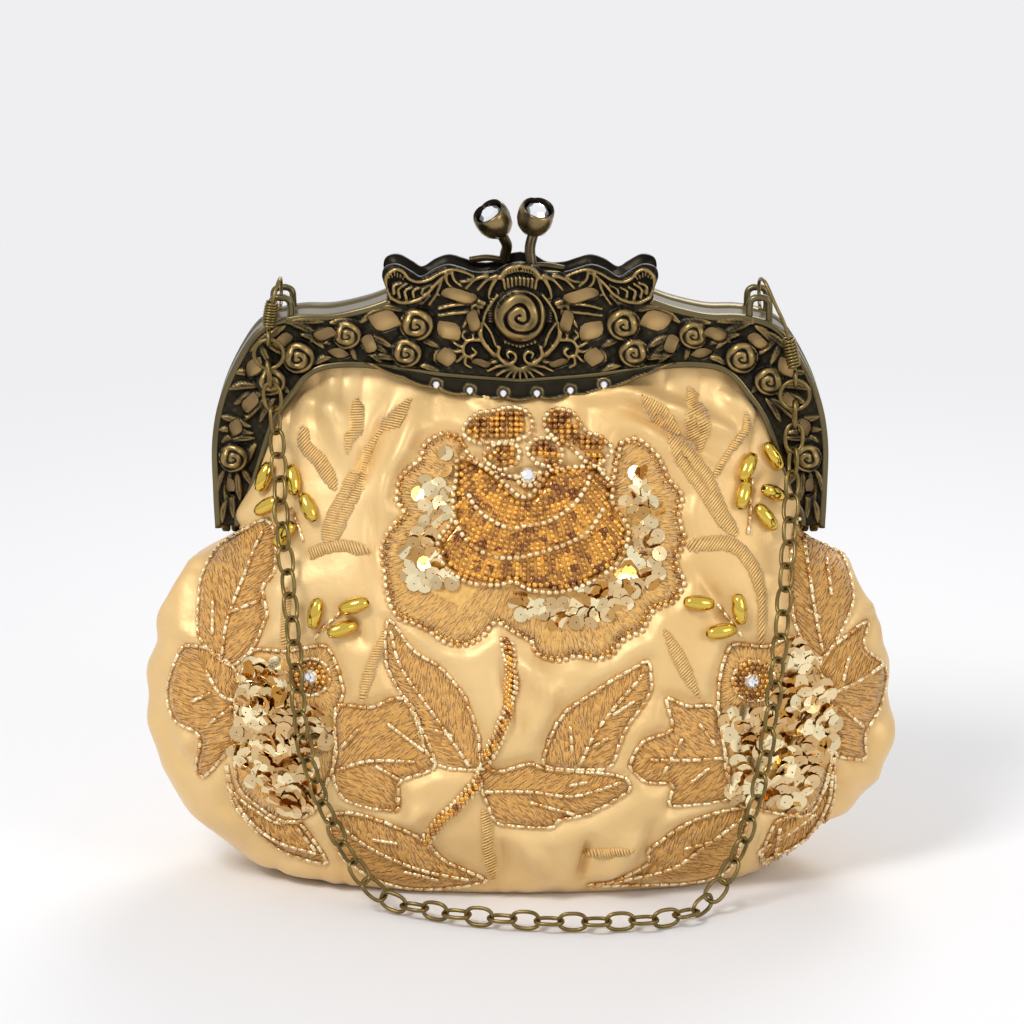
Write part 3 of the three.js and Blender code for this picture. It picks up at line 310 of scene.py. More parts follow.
# %% Scatter tree
def scatter_tree(name):
    """Copies of a shape on points: Z runs along the point's way and X towards its face."""
    tree = bpy.data.node_groups.new(name, "GeometryNodeTree")
    ports = tree.interface
    ports.new_socket("Geometry", in_out="INPUT", socket_type="NodeSocketGeometry")
    ports.new_socket("Shape", in_out="INPUT", socket_type="NodeSocketObject")
    ports.new_socket("Finish", in_out="INPUT", socket_type="NodeSocketMaterial")
    ports.new_socket("Geometry", in_out="OUTPUT", socket_type="NodeSocketGeometry")
    given = add(tree, "NodeGroupInput")
    shape = add(tree, "GeometryNodeObjectInfo", {"Object": given.outputs["Shape"]})
    way = add(tree, "GeometryNodeInputNamedAttribute", {"Name": "way"}, data_type="FLOAT_VECTOR")
    face = add(tree, "GeometryNodeInputNamedAttribute", {"Name": "face"}, data_type="FLOAT_VECTOR")
    size = add(tree, "GeometryNodeInputNamedAttribute", {"Name": "size"}, data_type="FLOAT_VECTOR")
    run = add(tree, "FunctionNodeAlignRotationToVector", {"Vector": way.outputs["Attribute"]}, axis="Z")
    turn = add(tree, "FunctionNodeAlignRotationToVector",
               {"Rotation": run.outputs[0], "Vector": face.outputs["Attribute"]}, axis="X", pivot_axis="Z")
    copies = add(tree, "GeometryNodeInstanceOnPoints",
                 {"Points": given.outputs["Geometry"], "Instance": shape.outputs["Geometry"],
                  "Rotation": turn.outputs[0], "Scale": size.outputs["Attribute"]})
    real = add(tree, "GeometryNodeRealizeInstances", {"Geometry": copies.outputs[0]})
    painted = add(tree, "GeometryNodeSetMaterial",
                  {"Geometry": real.outputs[0], "Material": given.outputs["Finish"]})
    add(tree, "NodeGroupOutput", {"Geometry": painted.outputs[0]})
    return tree


SCATTER = scatter_tree("set_down_on_points")


def scatter(name, shape, places, ways, faces, sizes, material):
    """Sets the shape down at each place and returns the result as one plain mesh piece."""
    count = len(places)
    mesh = bpy.data.meshes.new(name + "_points")
    mesh.vertices.add(count)
    mesh.vertices.foreach_set("co", np.asarray(places, float).ravel())
    for key, values in (("way", ways), ("face", faces), ("size", sizes)):
        full = np.broadcast_to(np.asarray(values, float), (count, 3))
        mesh.attributes.new(key, "FLOAT_VECTOR", "POINT").data.foreach_set("vector", full.ravel())
    cloud = bpy.data.objects.new(name + "_points", mesh)
    bpy.context.scene.collection.objects.link(cloud)
    modifier = cloud.modifiers.new("set down", "NODES")
    modifier.node_group = SCATTER
    sockets = {s.name: s.identifier for s in SCATTER.interface.items_tree if s.in_out == "INPUT"}
    modifier[sockets["Shape"]] = shape
    modifier[sockets["Finish"]] = material
    ready = cloud.evaluated_get(bpy.context.evaluated_depsgraph_get())
    result = bpy.data.meshes.new_from_object(ready)
    result.name = name
    result.materials.clear()
    result.materials.append(material)
    result.polygons.foreach_set("material_index", [0] * len(result.polygons))
    bpy.data.objects.remove(cloud)
    made = bpy.data.objects.new(name, result)
    bpy.context.scene.collection.objects.link(made)
    return made


def merged(name, pieces):
    """Several pieces made one object, each face with its own finish."""
    bpy.ops.object.select_all(action="DESELECT")
    for piece in pieces:
        piece.select_set(True)
    bpy.context.view_layer.objects.active = pieces[0]
    bpy.ops.object.join()
    pieces[0].name = name
    pieces[0].data.name = name
    return pieces[0]


def lathe(name, profile, sides, material, ring=False):
    """A small shape turned about Z from radius and height pairs, with flat ends or closed on itself."""
    points, faces = [], []
    angles = 2 * math.pi * np.arange(sides) / sides
    for radius, height in profile:
        points += [(radius * math.cos(a), radius * math.sin(a), height) for a in angles]
    for r in range(len(profile) - 1):
        for i in range(sides):
            j = (i + 1) % sides
            faces.append((r * sides + i, r * sides + j, (r + 1) * sides + j, (r + 1) * sides + i))
    last = len(points) - sides
    if ring:
        faces += [(last + i, last + (i + 1) % sides, (i + 1) % sides, i) for i in range(sides)]
    else:
        faces += [tuple(reversed(range(sides))), tuple(range(last, last + sides))]
    made = mesh_piece(name, points, faces, material)
    made.hide_render = True
    return made

# %% [markdown]
# ## Satin
# The pouch is cut from satin, a weave whose long floats give a broad soft gloss. It is a lofted bag:
# each level is a squarish oval that swells to the widest place at a quarter of the height, narrows to
# the hinges and then fills the frame's window. Cloth between stiff needlework puffs out, and it is
# pulled into small pleats under the rail and at the base, so both are worked from distances.

# %% Satin finish
THREAD_PITCH = 0.45 * MM
satin, tree, shader = finish("satin_weave", Base_Color=linear("DFBD82"), Metallic=0.25, Roughness=0.42,
                             Sheen_Weight=0.25, Sheen_Roughness=0.4)
two_tone(tree, shader, speckle(tree, 28.0, 3.0).outputs["Fac"], "D2A55E", "F2D298")
where = add(tree, "ShaderNodeTexCoord")
twill = add(tree, "ShaderNodeTexWave", {"Vector": where.outputs["Object"], "Scale": 1 / THREAD_PITCH / 3,
                                        "Distortion": 1.5}, bands_direction="DIAGONAL")
crease = speckle(tree, 110.0, 4.0)
weave = add(tree, "ShaderNodeBump", {"Height": twill.outputs["Fac"], "Strength": 0.15, "Distance": 0.1 * MM})
rumple = add(tree, "ShaderNodeBump", {"Height": crease.outputs["Fac"], "Strength": 0.5, "Distance": 1.2 * MM,
                                      "Normal": weave.outputs["Normal"]})
tree.links.new(rumple.outputs["Normal"], shader.inputs["Normal"])

lining_satin, tree, shader = finish("lining_satin", Base_Color=linear("D2AE78"), Roughness=0.5,
                                    Sheen_Weight=0.2)
soft = speckle(tree, 60.0, 3.0)
wrinkle = add(tree, "ShaderNodeBump", {"Height": soft.outputs["Fac"], "Strength": 0.5, "Distance": 1.2 * MM})
tree.links.new(wrinkle.outputs["Normal"], shader.inputs["Normal"])

# %% [markdown]
# ## The needlework's outlines
# Each sewn piece was traced point by point on the photograph. The numbers are its pixels.

# %% Traced needlework outlines
LEAVES = {
    "left_leaf_1": [(267, 519), (242, 532), (218, 551), (203, 578), (199, 623), (204, 642), (233, 665),
                    (256, 645), (268, 615), (264, 588), (276, 570), (277, 535)],
    "left_leaf_2": [(186, 646), (210, 649), (234, 666), (241, 682), (236, 704), (237, 738), (224, 757),
                    (206, 775), (198, 765), (201, 736), (178, 720), (170, 698), (173, 674)],
    "left_leaf_3": [(338, 706), (371, 706), (398, 697), (413, 712), (435, 765), (401, 781), (398, 808),
                    (371, 807), (344, 797), (334, 776), (336, 741)],
    "left_leaf_4": [(388, 619), (414, 650), (443, 669), (465, 696), (480, 741), (478, 768), (441, 765),
                    (422, 741), (414, 709), (398, 688), (386, 661)],
    "left_leaf_5": [(328, 816), (358, 812), (419, 835), (446, 859), (486, 878), (433, 886), (385, 880),
                    (344, 856)],
    "left_leaf_6": [(228, 763), (237, 792), (264, 813), (280, 821), (301, 822), (328, 860), (288, 851),
                    (259, 830), (234, 800)],
    "right_leaf_1": [(795, 519), (822, 535), (843, 562), (851, 599), (840, 631), (819, 658), (800, 639),
                     (791, 612), (789, 567)],
    "right_leaf_2": [(864, 621), (862, 647), (883, 669), (878, 706), (864, 733), (862, 757), (835, 754),
                     (832, 722), (827, 688), (819, 661)],
    "right_leaf_3": [(666, 698), (688, 705), (714, 706), (722, 736), (725, 768), (728, 797), (671, 805),
                     (671, 784), (645, 781), (629, 765), (642, 741), (671, 728)],
    "right_leaf_4": [(649, 661), (650, 693), (626, 728), (615, 757), (604, 768), (546, 765), (548, 741),
                     (562, 714), (591, 693), (626, 671)],
    "right_leaf_5": [(591, 883), (615, 878), (647, 862), (650, 848), (682, 824), (725, 808), (749, 808),
                     (741, 838), (728, 867), (688, 880)],
    "right_leaf_6": [(832, 755), (832, 795), (816, 832), (792, 856), (760, 859), (773, 822), (797, 811),
                     (822, 789)],
    "centre_leaf": [(477, 768), (500, 770), (530, 762), (545, 768), (572, 770), (622, 775), (628, 790),
                    (590, 812), (562, 818), (550, 826), (498, 822), (484, 795)],
}
# The middle vein of each leaf, from its foot to its tip, and the side veins
VEINS = {
    "left_leaf_1": [[(224, 655), (230, 620), (245, 580), (266, 530)], [(215, 635), (216, 600)], [(233, 612),
                    (262, 600)]],
    "left_leaf_2": [[(238, 700), (222, 693), (208, 668)], [(194, 700), (214, 692)], [(236, 704),
                    (212, 722)]],
    "left_leaf_3": [[(338, 768), (370, 759), (416, 760)], [(342, 746), (360, 727)], [(376, 764),
                    (400, 778)], [(388, 722), (425, 750)]],
    "left_leaf_4": [[(470, 765), (436, 716), (402, 668), (391, 630)], [(454, 735), (434, 728)], [(418, 715),
                    (424, 742)]],
    "left_leaf_5": [[(470, 876), (420, 866), (372, 845), (336, 820)], [(372, 836), (398, 840)], [(404, 868),
                    (440, 876)]],
    "left_leaf_6": [[(318, 850), (280, 838), (250, 815), (232, 785)], [(298, 824), (318, 848)]],
    "right_leaf_1": [[(820, 652), (812, 610), (806, 570), (800, 540)], [(802, 608), (818, 618)],
                     [(824, 562), (828, 596)]],
    "right_leaf_2": [[(832, 692), (856, 680), (880, 664)], [(838, 706), (860, 726)], [(840, 680),
                     (846, 656)]],
    "right_leaf_3": [[(722, 756), (690, 758), (648, 758)], [(682, 736), (662, 772)], [(708, 766),
                     (688, 782)], [(698, 722), (714, 744)]],
    "right_leaf_4": [[(580, 762), (600, 724), (644, 672)], [(572, 752), (570, 724)], [(592, 746),
                     (608, 736)], [(612, 714), (634, 700)]],
    "right_leaf_5": [[(612, 878), (668, 866), (700, 845), (744, 814)], [(682, 846), (712, 838)]],
    "right_leaf_6": [[(762, 856), (800, 836), (824, 802), (830, 768)], [(778, 824), (772, 852)]],
    "centre_leaf": [[(484, 790), (528, 790), (575, 794), (622, 780)], [(568, 784), (588, 780)], [(530, 800),
                    (574, 812)]],
}
FLOWERS = {
    "left_flower": [(245, 666), (259, 649), (291, 650), (328, 646), (344, 688), (334, 722), (336, 757),
                    (315, 808), (285, 819), (245, 792), (236, 763), (237, 722)],
    "right_flower": [(730, 645), (765, 646), (789, 637), (808, 650), (822, 682), (830, 728), (827, 768),
                     (811, 808), (784, 813), (733, 800), (728, 768), (720, 728), (717, 685)],
}
ROSE = [
    (469, 455), (462, 441), (450, 434), (437, 436), (424, 446), (419, 461), (410, 467), (398, 480),
    (396, 500), (404, 513), (392, 526), (383, 545), (384, 570), (388, 598), (398, 618), (419, 626),
    (430, 632), (445, 643), (468, 644), (485, 634), (496, 622), (512, 632), (531, 642), (537, 655),
    (556, 661), (576, 656), (594, 659), (612, 654), (622, 640), (642, 630), (653, 610), (672, 602),
    (684, 582), (676, 562), (684, 538), (678, 514), (682, 496), (668, 478), (658, 456), (640, 440),
    (622, 442), (617, 460), (610, 488), (600, 466), (560, 470), (520, 478), (490, 470),
]
PETALS = {
    "petal_1": [(465, 431), (470, 422), (482, 415), (500, 412), (515, 411), (527, 415), (532, 427),
                (527, 437), (513, 442), (495, 444), (478, 442)],
    "petal_2": [(486, 455), (490, 448), (502, 445), (515, 447), (520, 455), (515, 463), (502, 467),
                (491, 462)],
    "petal_3": [(527, 453), (531, 444), (541, 439), (555, 442), (562, 451), (560, 459), (549, 464),
                (535, 461)],
    "petal_4": [(543, 424), (549, 415), (560, 412), (572, 415), (578, 423), (586, 433), (600, 437),
                (608, 447), (605, 459), (598, 465), (588, 461), (576, 453), (564, 443), (551, 437)],
}
# The cup of the rose, and the lips of its petals across it
BOWL = [
    (459, 460), (480, 466), (496, 478), (510, 490), (520, 498), (530, 497), (541, 484), (549, 474),
    (563, 466), (584, 465), (600, 471), (612, 486), (612, 503), (622, 518), (628, 532), (622, 556),
    (604, 574), (580, 587), (560, 592), (543, 592), (527, 589), (514, 582), (500, 585), (485, 585),
    (470, 583), (454, 575), (443, 563), (439, 549), (440, 538), (453, 520), (453, 500), (456, 480),
]
LIPS = [
    [(468, 495), (476, 508), (490, 520), (510, 529), (528, 526), (543, 524), (558, 517), (570, 508),
     (579, 499), (587, 486), (590, 476)],
    [(453, 514), (458, 528), (468, 543), (482, 553), (502, 559), (523, 558), (543, 553), (564, 546),
     (580, 538), (592, 528), (604, 508)],
]
STEM = [(505, 640), (512, 665), (512, 690), (505, 715), (497, 740), (486, 762)]
STEM_FOOT = [(480, 775), (468, 792), (455, 806), (440, 820), (426, 840)]
# Plain satin-stitch work: leaves and bars without beads on their edges
SPRIGS = {
    "sprig_1": [(303, 425), (310, 430), (312, 443), (324, 453), (333, 467), (338, 482), (334, 492),
                (324, 482), (314, 466), (302, 453), (298, 439)],
    "sprig_2": [(355, 399), (364, 408), (368, 422), (365, 430), (355, 440), (346, 454), (343, 439),
                (346, 422)],
    "sprig_3": [(411, 398), (410, 408), (402, 426), (385, 434), (376, 444), (370, 482), (356, 505),
                (345, 528), (338, 540), (322, 540), (326, 515), (338, 492), (350, 468), (362, 448),
                (376, 432), (390, 414)],
    "sprig_4": [(641, 396), (652, 396), (666, 405), (676, 418), (681, 432), (674, 437), (667, 430),
                (656, 426), (648, 413)],
    "sprig_5": [(687, 388), (696, 393), (703, 407), (711, 421), (709, 433), (700, 453), (694, 440),
                (686, 436), (685, 412)],
    "sprig_6": [(668, 438), (683, 440), (698, 455), (712, 474), (726, 506), (738, 530), (733, 537),
                (718, 526), (700, 498), (684, 476), (672, 458)],
    "sprig_7": [(745, 411), (751, 421), (747, 435), (736, 448), (725, 464), (717, 477), (712, 475),
                (720, 459), (730, 443), (741, 428)],
    "bar_1": [(308, 551), (316, 545), (330, 541), (348, 540), (362, 544), (370, 553), (360, 556),
              (344, 552), (328, 554), (312, 560)],
    "bar_2": [(686, 543), (704, 537), (728, 536), (744, 545), (756, 560), (764, 580), (766, 606),
              (764, 640), (757, 640), (757, 606), (752, 584), (742, 564), (728, 552), (706, 551),
              (690, 552)],
    "bar_3": [(359, 698), (362, 676), (370, 654), (386, 622), (391, 628), (381, 656), (368, 694)],
    "bar_4": [(663, 629), (671, 634), (686, 656), (697, 684), (699, 698), (690, 690), (678, 672),
              (668, 650)],
    "bar_5": [(480, 812), (491, 816), (494, 845), (498, 874), (487, 876), (482, 848)],
    "bar_6": [(588, 848), (630, 848), (628, 856), (590, 857)],
    "bar_7": [(283, 590), (291, 590), (291, 612), (288, 644), (280, 640), (281, 610)],
}
SEWN = list(LEAVES.values()) + list(FLOWERS.values()) + [ROSE]
print(len(LEAVES), "leaves,", len(SPRIGS), "plain sprigs traced")

# %% [markdown]
# ## The pouch
# The sack's half widths follow the photograph level by level. Its half depths are a guess, because the
# view is from the front. The window is the narrower space between the arms of the frame, which the
# cloth fills above the shoulders.

# %% Pouch profile
# Pairs of height and half width or half depth in mm
SACK_WIDTHS = [(0, 70), (3, 77), (8, 84), (15, 92), (22, 100), (35, 108), (48, 111), (61, 111.2), (70, 109.5),
               (78, 106.5), (86, 103), (94, 99.5), (104, 94.5)]
WINDOW_WIDTHS = [(104, 83.6), (113, 83.2), (120, 79.6), (130, 76), (140, 72.9), (147, 69), (152, 65)]
DEPTHS = [
    (0, 27), (3, 31), (8, 34), (15, 36.5), (22, 38.5), (35, 40), (48, 40), (61, 39), (70, 37.5), (78, 36),
    (86, 34), (94, 32), (104, 29), (110, 26.5), (120, 22.5), (130, 17.5), (140, 12), (145, 8.6), (149, 6.1),
    (152, 5.2),
]
WINDOW_TOP = [(0, 152.6), (22, 154.4), (45, 157.4), (56, 157.2), (62, 155), (67, 149.6)]
LEVEL_POWER = 2 / 2.3
GLUED_EDGE = 3.0
SHOULDER = (96.0, 105.5)
SACK_TOP = 152
LEVELS = np.linspace(0, SACK_TOP, 610)


def eased(knots, spread=9):
    """The knots joined by lines whose corners are rounded off."""
    plain = np.interp(LEVELS, *zip(*knots))
    kernel = np.hanning(2 * spread + 1)
    padded = np.pad(plain, spread, mode="reflect", reflect_type="odd")
    return np.convolve(padded, kernel / kernel.sum(), "valid")


sack_width, window_width, depth = eased(SACK_WIDTHS), eased(WINDOW_WIDTHS), eased(DEPTHS)


def ease(share):
    share = np.clip(share, 0, 1)
    return share * share * (3 - 2 * share)


def shell(side, rows, columns, inset=0.0, z_low=0.0):
    """Half of the pouch, from seam to seam: side -1 is the front. Points in mm, row by row."""
    base = [] if z_low else [(0.4, t) for t in np.linspace(0.04, 0.97, 7)]
    heights = base + [(z, 1.0) for z in np.linspace(max(z_low, 0.4), SACK_TOP, rows)]
    angle = np.linspace(-math.pi / 2, math.pi / 2, columns)
    s, c = np.sin(angle), np.cos(angle)
    across, forward = np.sign(s) * np.abs(s) ** LEVEL_POWER, np.abs(c) ** LEVEL_POWER
    out = []
    for z, share in heights:
        w, v, d = (np.interp(z, LEVELS, k) for k in (sack_width, window_width, depth))
        in_window = ease((z - SHOULDER[0]) / (SHOULDER[1] - SHOULDER[0]))
        x = across * ((w - inset) * (1 - in_window) + (v - inset) * in_window) * share
        edge = GLUED_EDGE * in_window
        y = (edge + (d - inset - edge) * forward) * share
        top = np.interp(np.abs(x), *zip(*WINDOW_TOP))
        start = SHOULDER[1]
        lifted = np.where(z > start, start + (z - start) * (top - start) / (SACK_TOP - start), z)
        out.append(np.stack([x, side * y, lifted + (inset if z < 1 else 0)], 1))
    return np.array(out)


def normals_of(sheet, side):
    """Outward directions of a grid of points."""
    down = np.gradient(sheet, axis=0)
    over = np.gradient(sheet, axis=1)
    n = unit(np.cross(over, down))
    outward = n[..., 1] * side
    return n * np.where(outward.mean() < 0, -1, 1)


def waves(points, scale, seed):
    """Smooth random rises and dips, between about -1 and 1, of one size in mm."""
    draw = np.random.default_rng(seed)
    total = np.zeros(points.shape[:-1])
    for _ in range(9):
        way = draw.normal(size=3)
        way *= 2 * math.pi / (scale * draw.uniform(0.7, 1.5)) / np.linalg.norm(way)
        total += np.sin(points @ way + draw.uniform(0, 6.3))
    return total / 4.2


# %% [markdown]
# The front's folds were read off the photograph: each is a soft ridge along a line of pixels, with a
# width and a height. They are added to the pleats and puffs that every gathered bag has.

# %% Folds and pleats
# Ends and half width in pixels, and height in steps of FOLD_DEPTH mm; below zero is a valley
FOLDS = [
    ((300, 395), (345, 420), 9, 1.6), ((332, 378), (350, 470), 10, 1.8), ((396, 392), (352, 500), 8, -1.6),
    ((420, 400), (378, 520), 9, 1.5), ((470, 392), (500, 408), 8, 1.3), ((560, 394), (640, 400), 9, 1.6),
    ((600, 382), (742, 440), 9, 2.4), ((612, 396), (730, 470), 7, -1.6), ((720, 388), (752, 430), 9, 1.8),
    ((770, 470), (742, 520), 8, 1.3), ((372, 500), (376, 590), 7, -1.3), ((520, 652), (552, 700), 8, 1.6),
    ((498, 650), (520, 745), 7, -1.4), ((560, 668), (524, 752), 9, 1.5), ((690, 560), (742, 640), 9, -1.3),
    ((575, 886), (590, 832), 6, -2.6), ((560, 880), (520, 835), 8, 1.6), ((600, 880), (640, 830), 9, 1.7),
    ((508, 884), (500, 830), 7, -1.4), ((655, 812), (640, 868), 7, -1.3), ((172, 640), (190, 760), 9, 1.8),
    ((160, 700), (205, 800), 8, -1.5), ((880, 700), (860, 790), 9, 1.6), ((858, 560), (880, 640), 8, 1.3),
    ((188, 560), (166, 640), 9, 1.2), ((330, 600), (372, 650), 8, -1.2), ((430, 800), (402, 822), 8, 1.3),
]
PUFF, PUFF_REACH = 2.3, 15.0
PLEAT, PLEAT_PITCH = 0.75, 6.4
FOLD_DEPTH = 1.9
SEAM_COLUMNS = 16.0


def pixel_of(points):
    """Where points in mm fall in the photograph."""
    rel = points * MM - np.array(eye)
    away = -(rel @ np.array(view_back))
    scale = VIEW_DISTANCE / away / PIXEL_SIZE
    return np.stack([MIDDLE_PIXEL + rel @ np.array(view_right) * scale,
                     MIDDLE_PIXEL - rel @ np.array(view_up) * scale], -1)


def pleats(sheet):
    """Gathers at the base and under the rail."""
    x, z = sheet[..., 0], sheet[..., 2]
    beat = x / PLEAT_PITCH + 0.9 * np.sin(x / 9.0) + 0.5 * np.sin(x / 3.7 + 1.3)
    ridge = np.abs(np.sin(math.pi * beat / 2)) ** 0.8 - 0.5
    low = (1 - ease((z - 3) / 20)) * ease(z / 3)
    high = ease((z - 122) / 24)
    side = ease((np.abs(x) - 98) / 10) * np.sin(z / 3.1 + 1.4 * np.sin(z / 11.0))
    return PLEAT * (ridge * (1.2 * low + 1.0 * high) + 0.9 * side)


def dressed(sheet, side, traced):
    """The shell pushed in and out along its normals by puffs, pleats and folds."""
    n = normals_of(sheet, side)
    rise = pleats(sheet) + 0.55 * waves(sheet, 26, 5 + side) * ease(sheet[..., 2] / 12)
    if traced:
        seen = pixel_of(sheet).reshape(-1, 2)
        gap = np.full(len(seen), 1e9)
        for outline in SEWN:
            away = distance_to(outline, seen)
            gap = np.minimum(gap, np.where(inside(outline, seen), 0, away))
        held = ease(gap / PUFF_REACH)
        top = ease((SACK_TOP - sheet[..., 2]) / 14).reshape(-1)
        puff = PUFF * held * top * ease(sheet[..., 2].reshape(-1) / 8)
        for start, end, half, height in FOLDS:
            a, b = np.array(start, float), np.array(end, float)
            share = np.clip(((seen - a) @ (b - a)) / ((b - a) @ (b - a)), -0.2, 1.2)
            off = np.linalg.norm(seen - a - share[:, None] * (b - a), axis=1)
            ridge = np.exp(-((off / half) ** 2)) * ease(1.2 - np.abs(2 * share - 1))
            puff += FOLD_DEPTH * height * ridge * (0.35 + 0.65 * held)
        rise = rise * (0.4 + 0.6 * held.reshape(rise.shape)) + puff.reshape(rise.shape)
    else:
        held = ease(sheet[..., 2] / 15) * ease((SACK_TOP - sheet[..., 2]) / 14)
        rise = rise + 1.1 * waves(sheet, 17, 21) * held
    # At the side seams both shells wave alike, straight out to the side, so that they meet
    count = np.arange(sheet.shape[1])
    free = ease(np.minimum(count, count[::-1]) / SEAM_COLUMNS)[None, :, None]
    z = sheet[..., 2]
    sway = 0.7 * np.sin(z / 3.1 + 1.4 * np.sin(z / 11.0)) * ease(z / 14) * ease((104 - z) / 10)
    sideways = np.stack([np.sign(sheet[..., 0]) * sway, 0 * z, 0 * z], -1)
    return sheet + n * rise[..., None] * free + sideways * (1 - free)


ROWS, COLUMNS = 150, 230
LOWEST = 0.15
front_sheet = dressed(shell(-1, ROWS, COLUMNS), -1, True)
back_sheet = dressed(shell(1, ROWS, COLUMNS), 1, False)
for sheet in (front_sheet, back_sheet):
    sheet[..., 2] = np.maximum(sheet[..., 2], LOWEST)


def cloth(name, sheet, side, material):
    """A grid of points in mm made a sheet of cloth that faces outwards."""
    rows, columns = sheet.shape[:2]
    faces = grid_faces(rows, columns)
    if side > 0:
        faces = [tuple(reversed(f)) for f in faces]
    made = mesh_piece(name, sheet.reshape(-1, 3) * MM, faces, material)
    middle = made.data.polygons[len(faces) // 2]
    if middle.normal.y * side < 0:
        made.data.flip_normals()
    return made


SATIN_THICK = 0.5 * MM
satin_front = cloth("satin_front", front_sheet, -1, satin)
satin_back = cloth("satin_back", back_sheet, 1, satin)
LINING_INSET = 2.6
front_lining = cloth("front_lining", shell(-1, 40, 70, inset=LINING_INSET), -1, lining_satin)
back_lining = cloth("back_lining", shell(1, 40, 70, inset=LINING_INSET), 1, lining_satin)


def thickened(piece, thickness):
    """Gives a sheet its real thickness, inwards."""
    wall = piece.modifiers.new("wall", "SOLIDIFY")
    wall.thickness = thickness
    wall.offset = -1
    bpy.context.view_layer.objects.active = piece
    with bpy.context.temp_override(object=piece, active_object=piece):
        bpy.ops.object.modifier_apply(modifier=wall.name)
    for point in piece.data.vertices:
        point.co.z = max(point.co.z, 0.0)


satin_tree = BVHTree.FromPolygons([v.co.copy() for v in satin_front.data.vertices],
                                  [tuple(p.vertices) for p in satin_front.data.polygons])
for piece in (satin_front, satin_back, front_lining, back_lining):
    thickened(piece, SATIN_THICK)
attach(satin_front, "bag")
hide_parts("pouch")
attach(front_lining, "bag")
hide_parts("lining")
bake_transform(satin_back)
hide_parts("back_panel")
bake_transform(back_lining)
print("satin", len(satin_front.data.polygons), "faces in front")

# %% [markdown]
# ## Threads, beads and sequins
# The needlework uses few materials. Rayon thread has a silky gloss. Silver-lined glass beads are amber
# with a bright mirror inside, so a metallic base under a clear coat looks like them without tracing
# light through thousands of grains. Bugles are pale gold tubes, sequins are thin metallised discs, and
# the oat beads are gilded plastic. The plain sprigs are worked in a paler thread than the leaves.

# %% Needlework finishes
def beady(name, deep, bright, metallic, roughness, size, coat=0.8):
    """A bead finish whose colour shifts from bead to bead."""
    made, tree, shader = finish(name, Metallic=metallic, Roughness=roughness, Coat_Weight=coat,
                                Coat_Roughness=0.06)
    where = add(tree, "ShaderNodeTexCoord")
    cells = add(tree, "ShaderNodeTexVoronoi", {"Vector": where.outputs["Object"], "Scale": 1 / size})
    shade = add(tree, "ShaderNodeSeparateColor", {"Color": cells.outputs["Color"]})
    two_tone(tree, shader, shade.outputs["Red"], deep, bright)
    return made


def thready(name, deep, bright):
    """Rayon embroidery thread: silky, its colour wandering at random between two tones."""
    made, tree, shader = finish(name, Roughness=0.42, Sheen_Weight=0.35, Sheen_Roughness=0.35)
    two_tone(tree, shader, speckle(tree, 650.0, 2.0).outputs["Fac"], deep, bright)
    return made


amber_glass = beady("amber_glass", "7E430A", "F0B246", metallic=0.6, roughness=0.17, size=2.2 * MM)
bugle_glass = beady("bugle_glass", "C98F3C", "FBE9B8", metallic=0.6, roughness=0.18, size=3.0 * MM)
gold_thread = thready("gold_thread", "CC9440", "F5C979")
leaf_thread = thready("leaf_thread", "C48B3A", "F3C06C")
sprig_thread = thready("sprig_thread", "DBA54E", "FAD68A")
# The leaves' raised pad shows in the gaps between stitches; its colour, darker than the leaf thread, is
# painted shade in those gaps
leaf_pad_painted_shade, tree, shader = finish("leaf_pad_painted_shade", Base_Color=linear("B5823A"), Roughness=0.8)
sequin_foil = beady("sequin_foil", "BA8434", "FFF1C4", metallic=1.0, roughness=0.16, size=4.5 * MM, coat=0.3)
gilt_plastic, tree, shader = finish("gilt_plastic", Base_Color=linear("D8B650"), Metallic=1.0, Roughness=0.13)
# Near black: painted shade inside the thread hole at each end of an oat bead
hole_painted_shade, tree, shader = finish("bead_hole_painted_shade", Base_Color=linear("1B1408"), Roughness=0.7)
rhinestone, tree, shader = finish("cut_crystal", Base_Color=linear("F4F6FA"), Metallic=0.75, Roughness=0.06)

# %% [markdown]
# Beads, sequins and stones are turned as on a lathe, in mm: radius and height, from end to end. Only
# the stitch is a bent thread with three sides.

# %% Shapes that repeat
seed = lathe("seed_shape", [(0.35, -0.7), (0.9, -0.55), (1.05, 0), (0.9, 0.55), (0.35, 0.7)], 7, amber_glass)
bugle = lathe("bugle_shape", [(0.36, -1.34), (0.64, -1.22), (0.64, 1.22), (0.36, 1.34)], 6, bugle_glass)
sequin = lathe("sequin_shape", [(0.25, -0.06), (2.7, -0.02), (2.7, 0.1), (0.25, 0.06)], 10,
               sequin_foil, ring=True)
oat = lathe("oat_shape",
            [(0.75, -4.5), (1.3, -4.4), (2.0, -2.9), (2.4, 0), (2.0, 2.9), (1.3, 4.4), (0.75, 4.5)], 12,
            gilt_plastic)
oat_hole = lathe("oat_hole_shape", [(0.68, -4.56), (0.68, 4.56)], 8, hole_painted_shade)
stone = lathe("stone_shape", [(0.6, -1.0), (1.0, 0.0), (0.62, 0.55), (0.3, 0.62)], 8, rhinestone)


def stitch_shape():
    """One stitch of unit size: a thread that rises from the cloth and dips back, X is up and Z along."""
    points, faces = [], []
    for z, rise in ((-0.5, -0.2), (0.0, 0.5), (0.5, -0.2)):
        points += [(rise + 0.3, 0, z), (-0.3, 0.5, z), (-0.3, -0.5, z)]
    for r in (0, 3):
        for i in range(3):
            j = (i + 1) % 3
            faces.append((r + i, r + j, r + 3 + j, r + 3 + i))
    faces += [(2, 1, 0), (6, 7, 8)]
    made = mesh_piece("stitch_shape", points, faces, gold_thread)
    made.hide_render = True
    return made


stitch = stitch_shape()
TEMPLATES = [seed, bugle, sequin, oat, oat_hole, stone, stitch]


# %% [markdown]
# Where a traced pixel's ray misses the satin, at its very edge, the nearest place on the cloth is taken.

# %% From pixels to the satin
MISSED_Y = 0.005


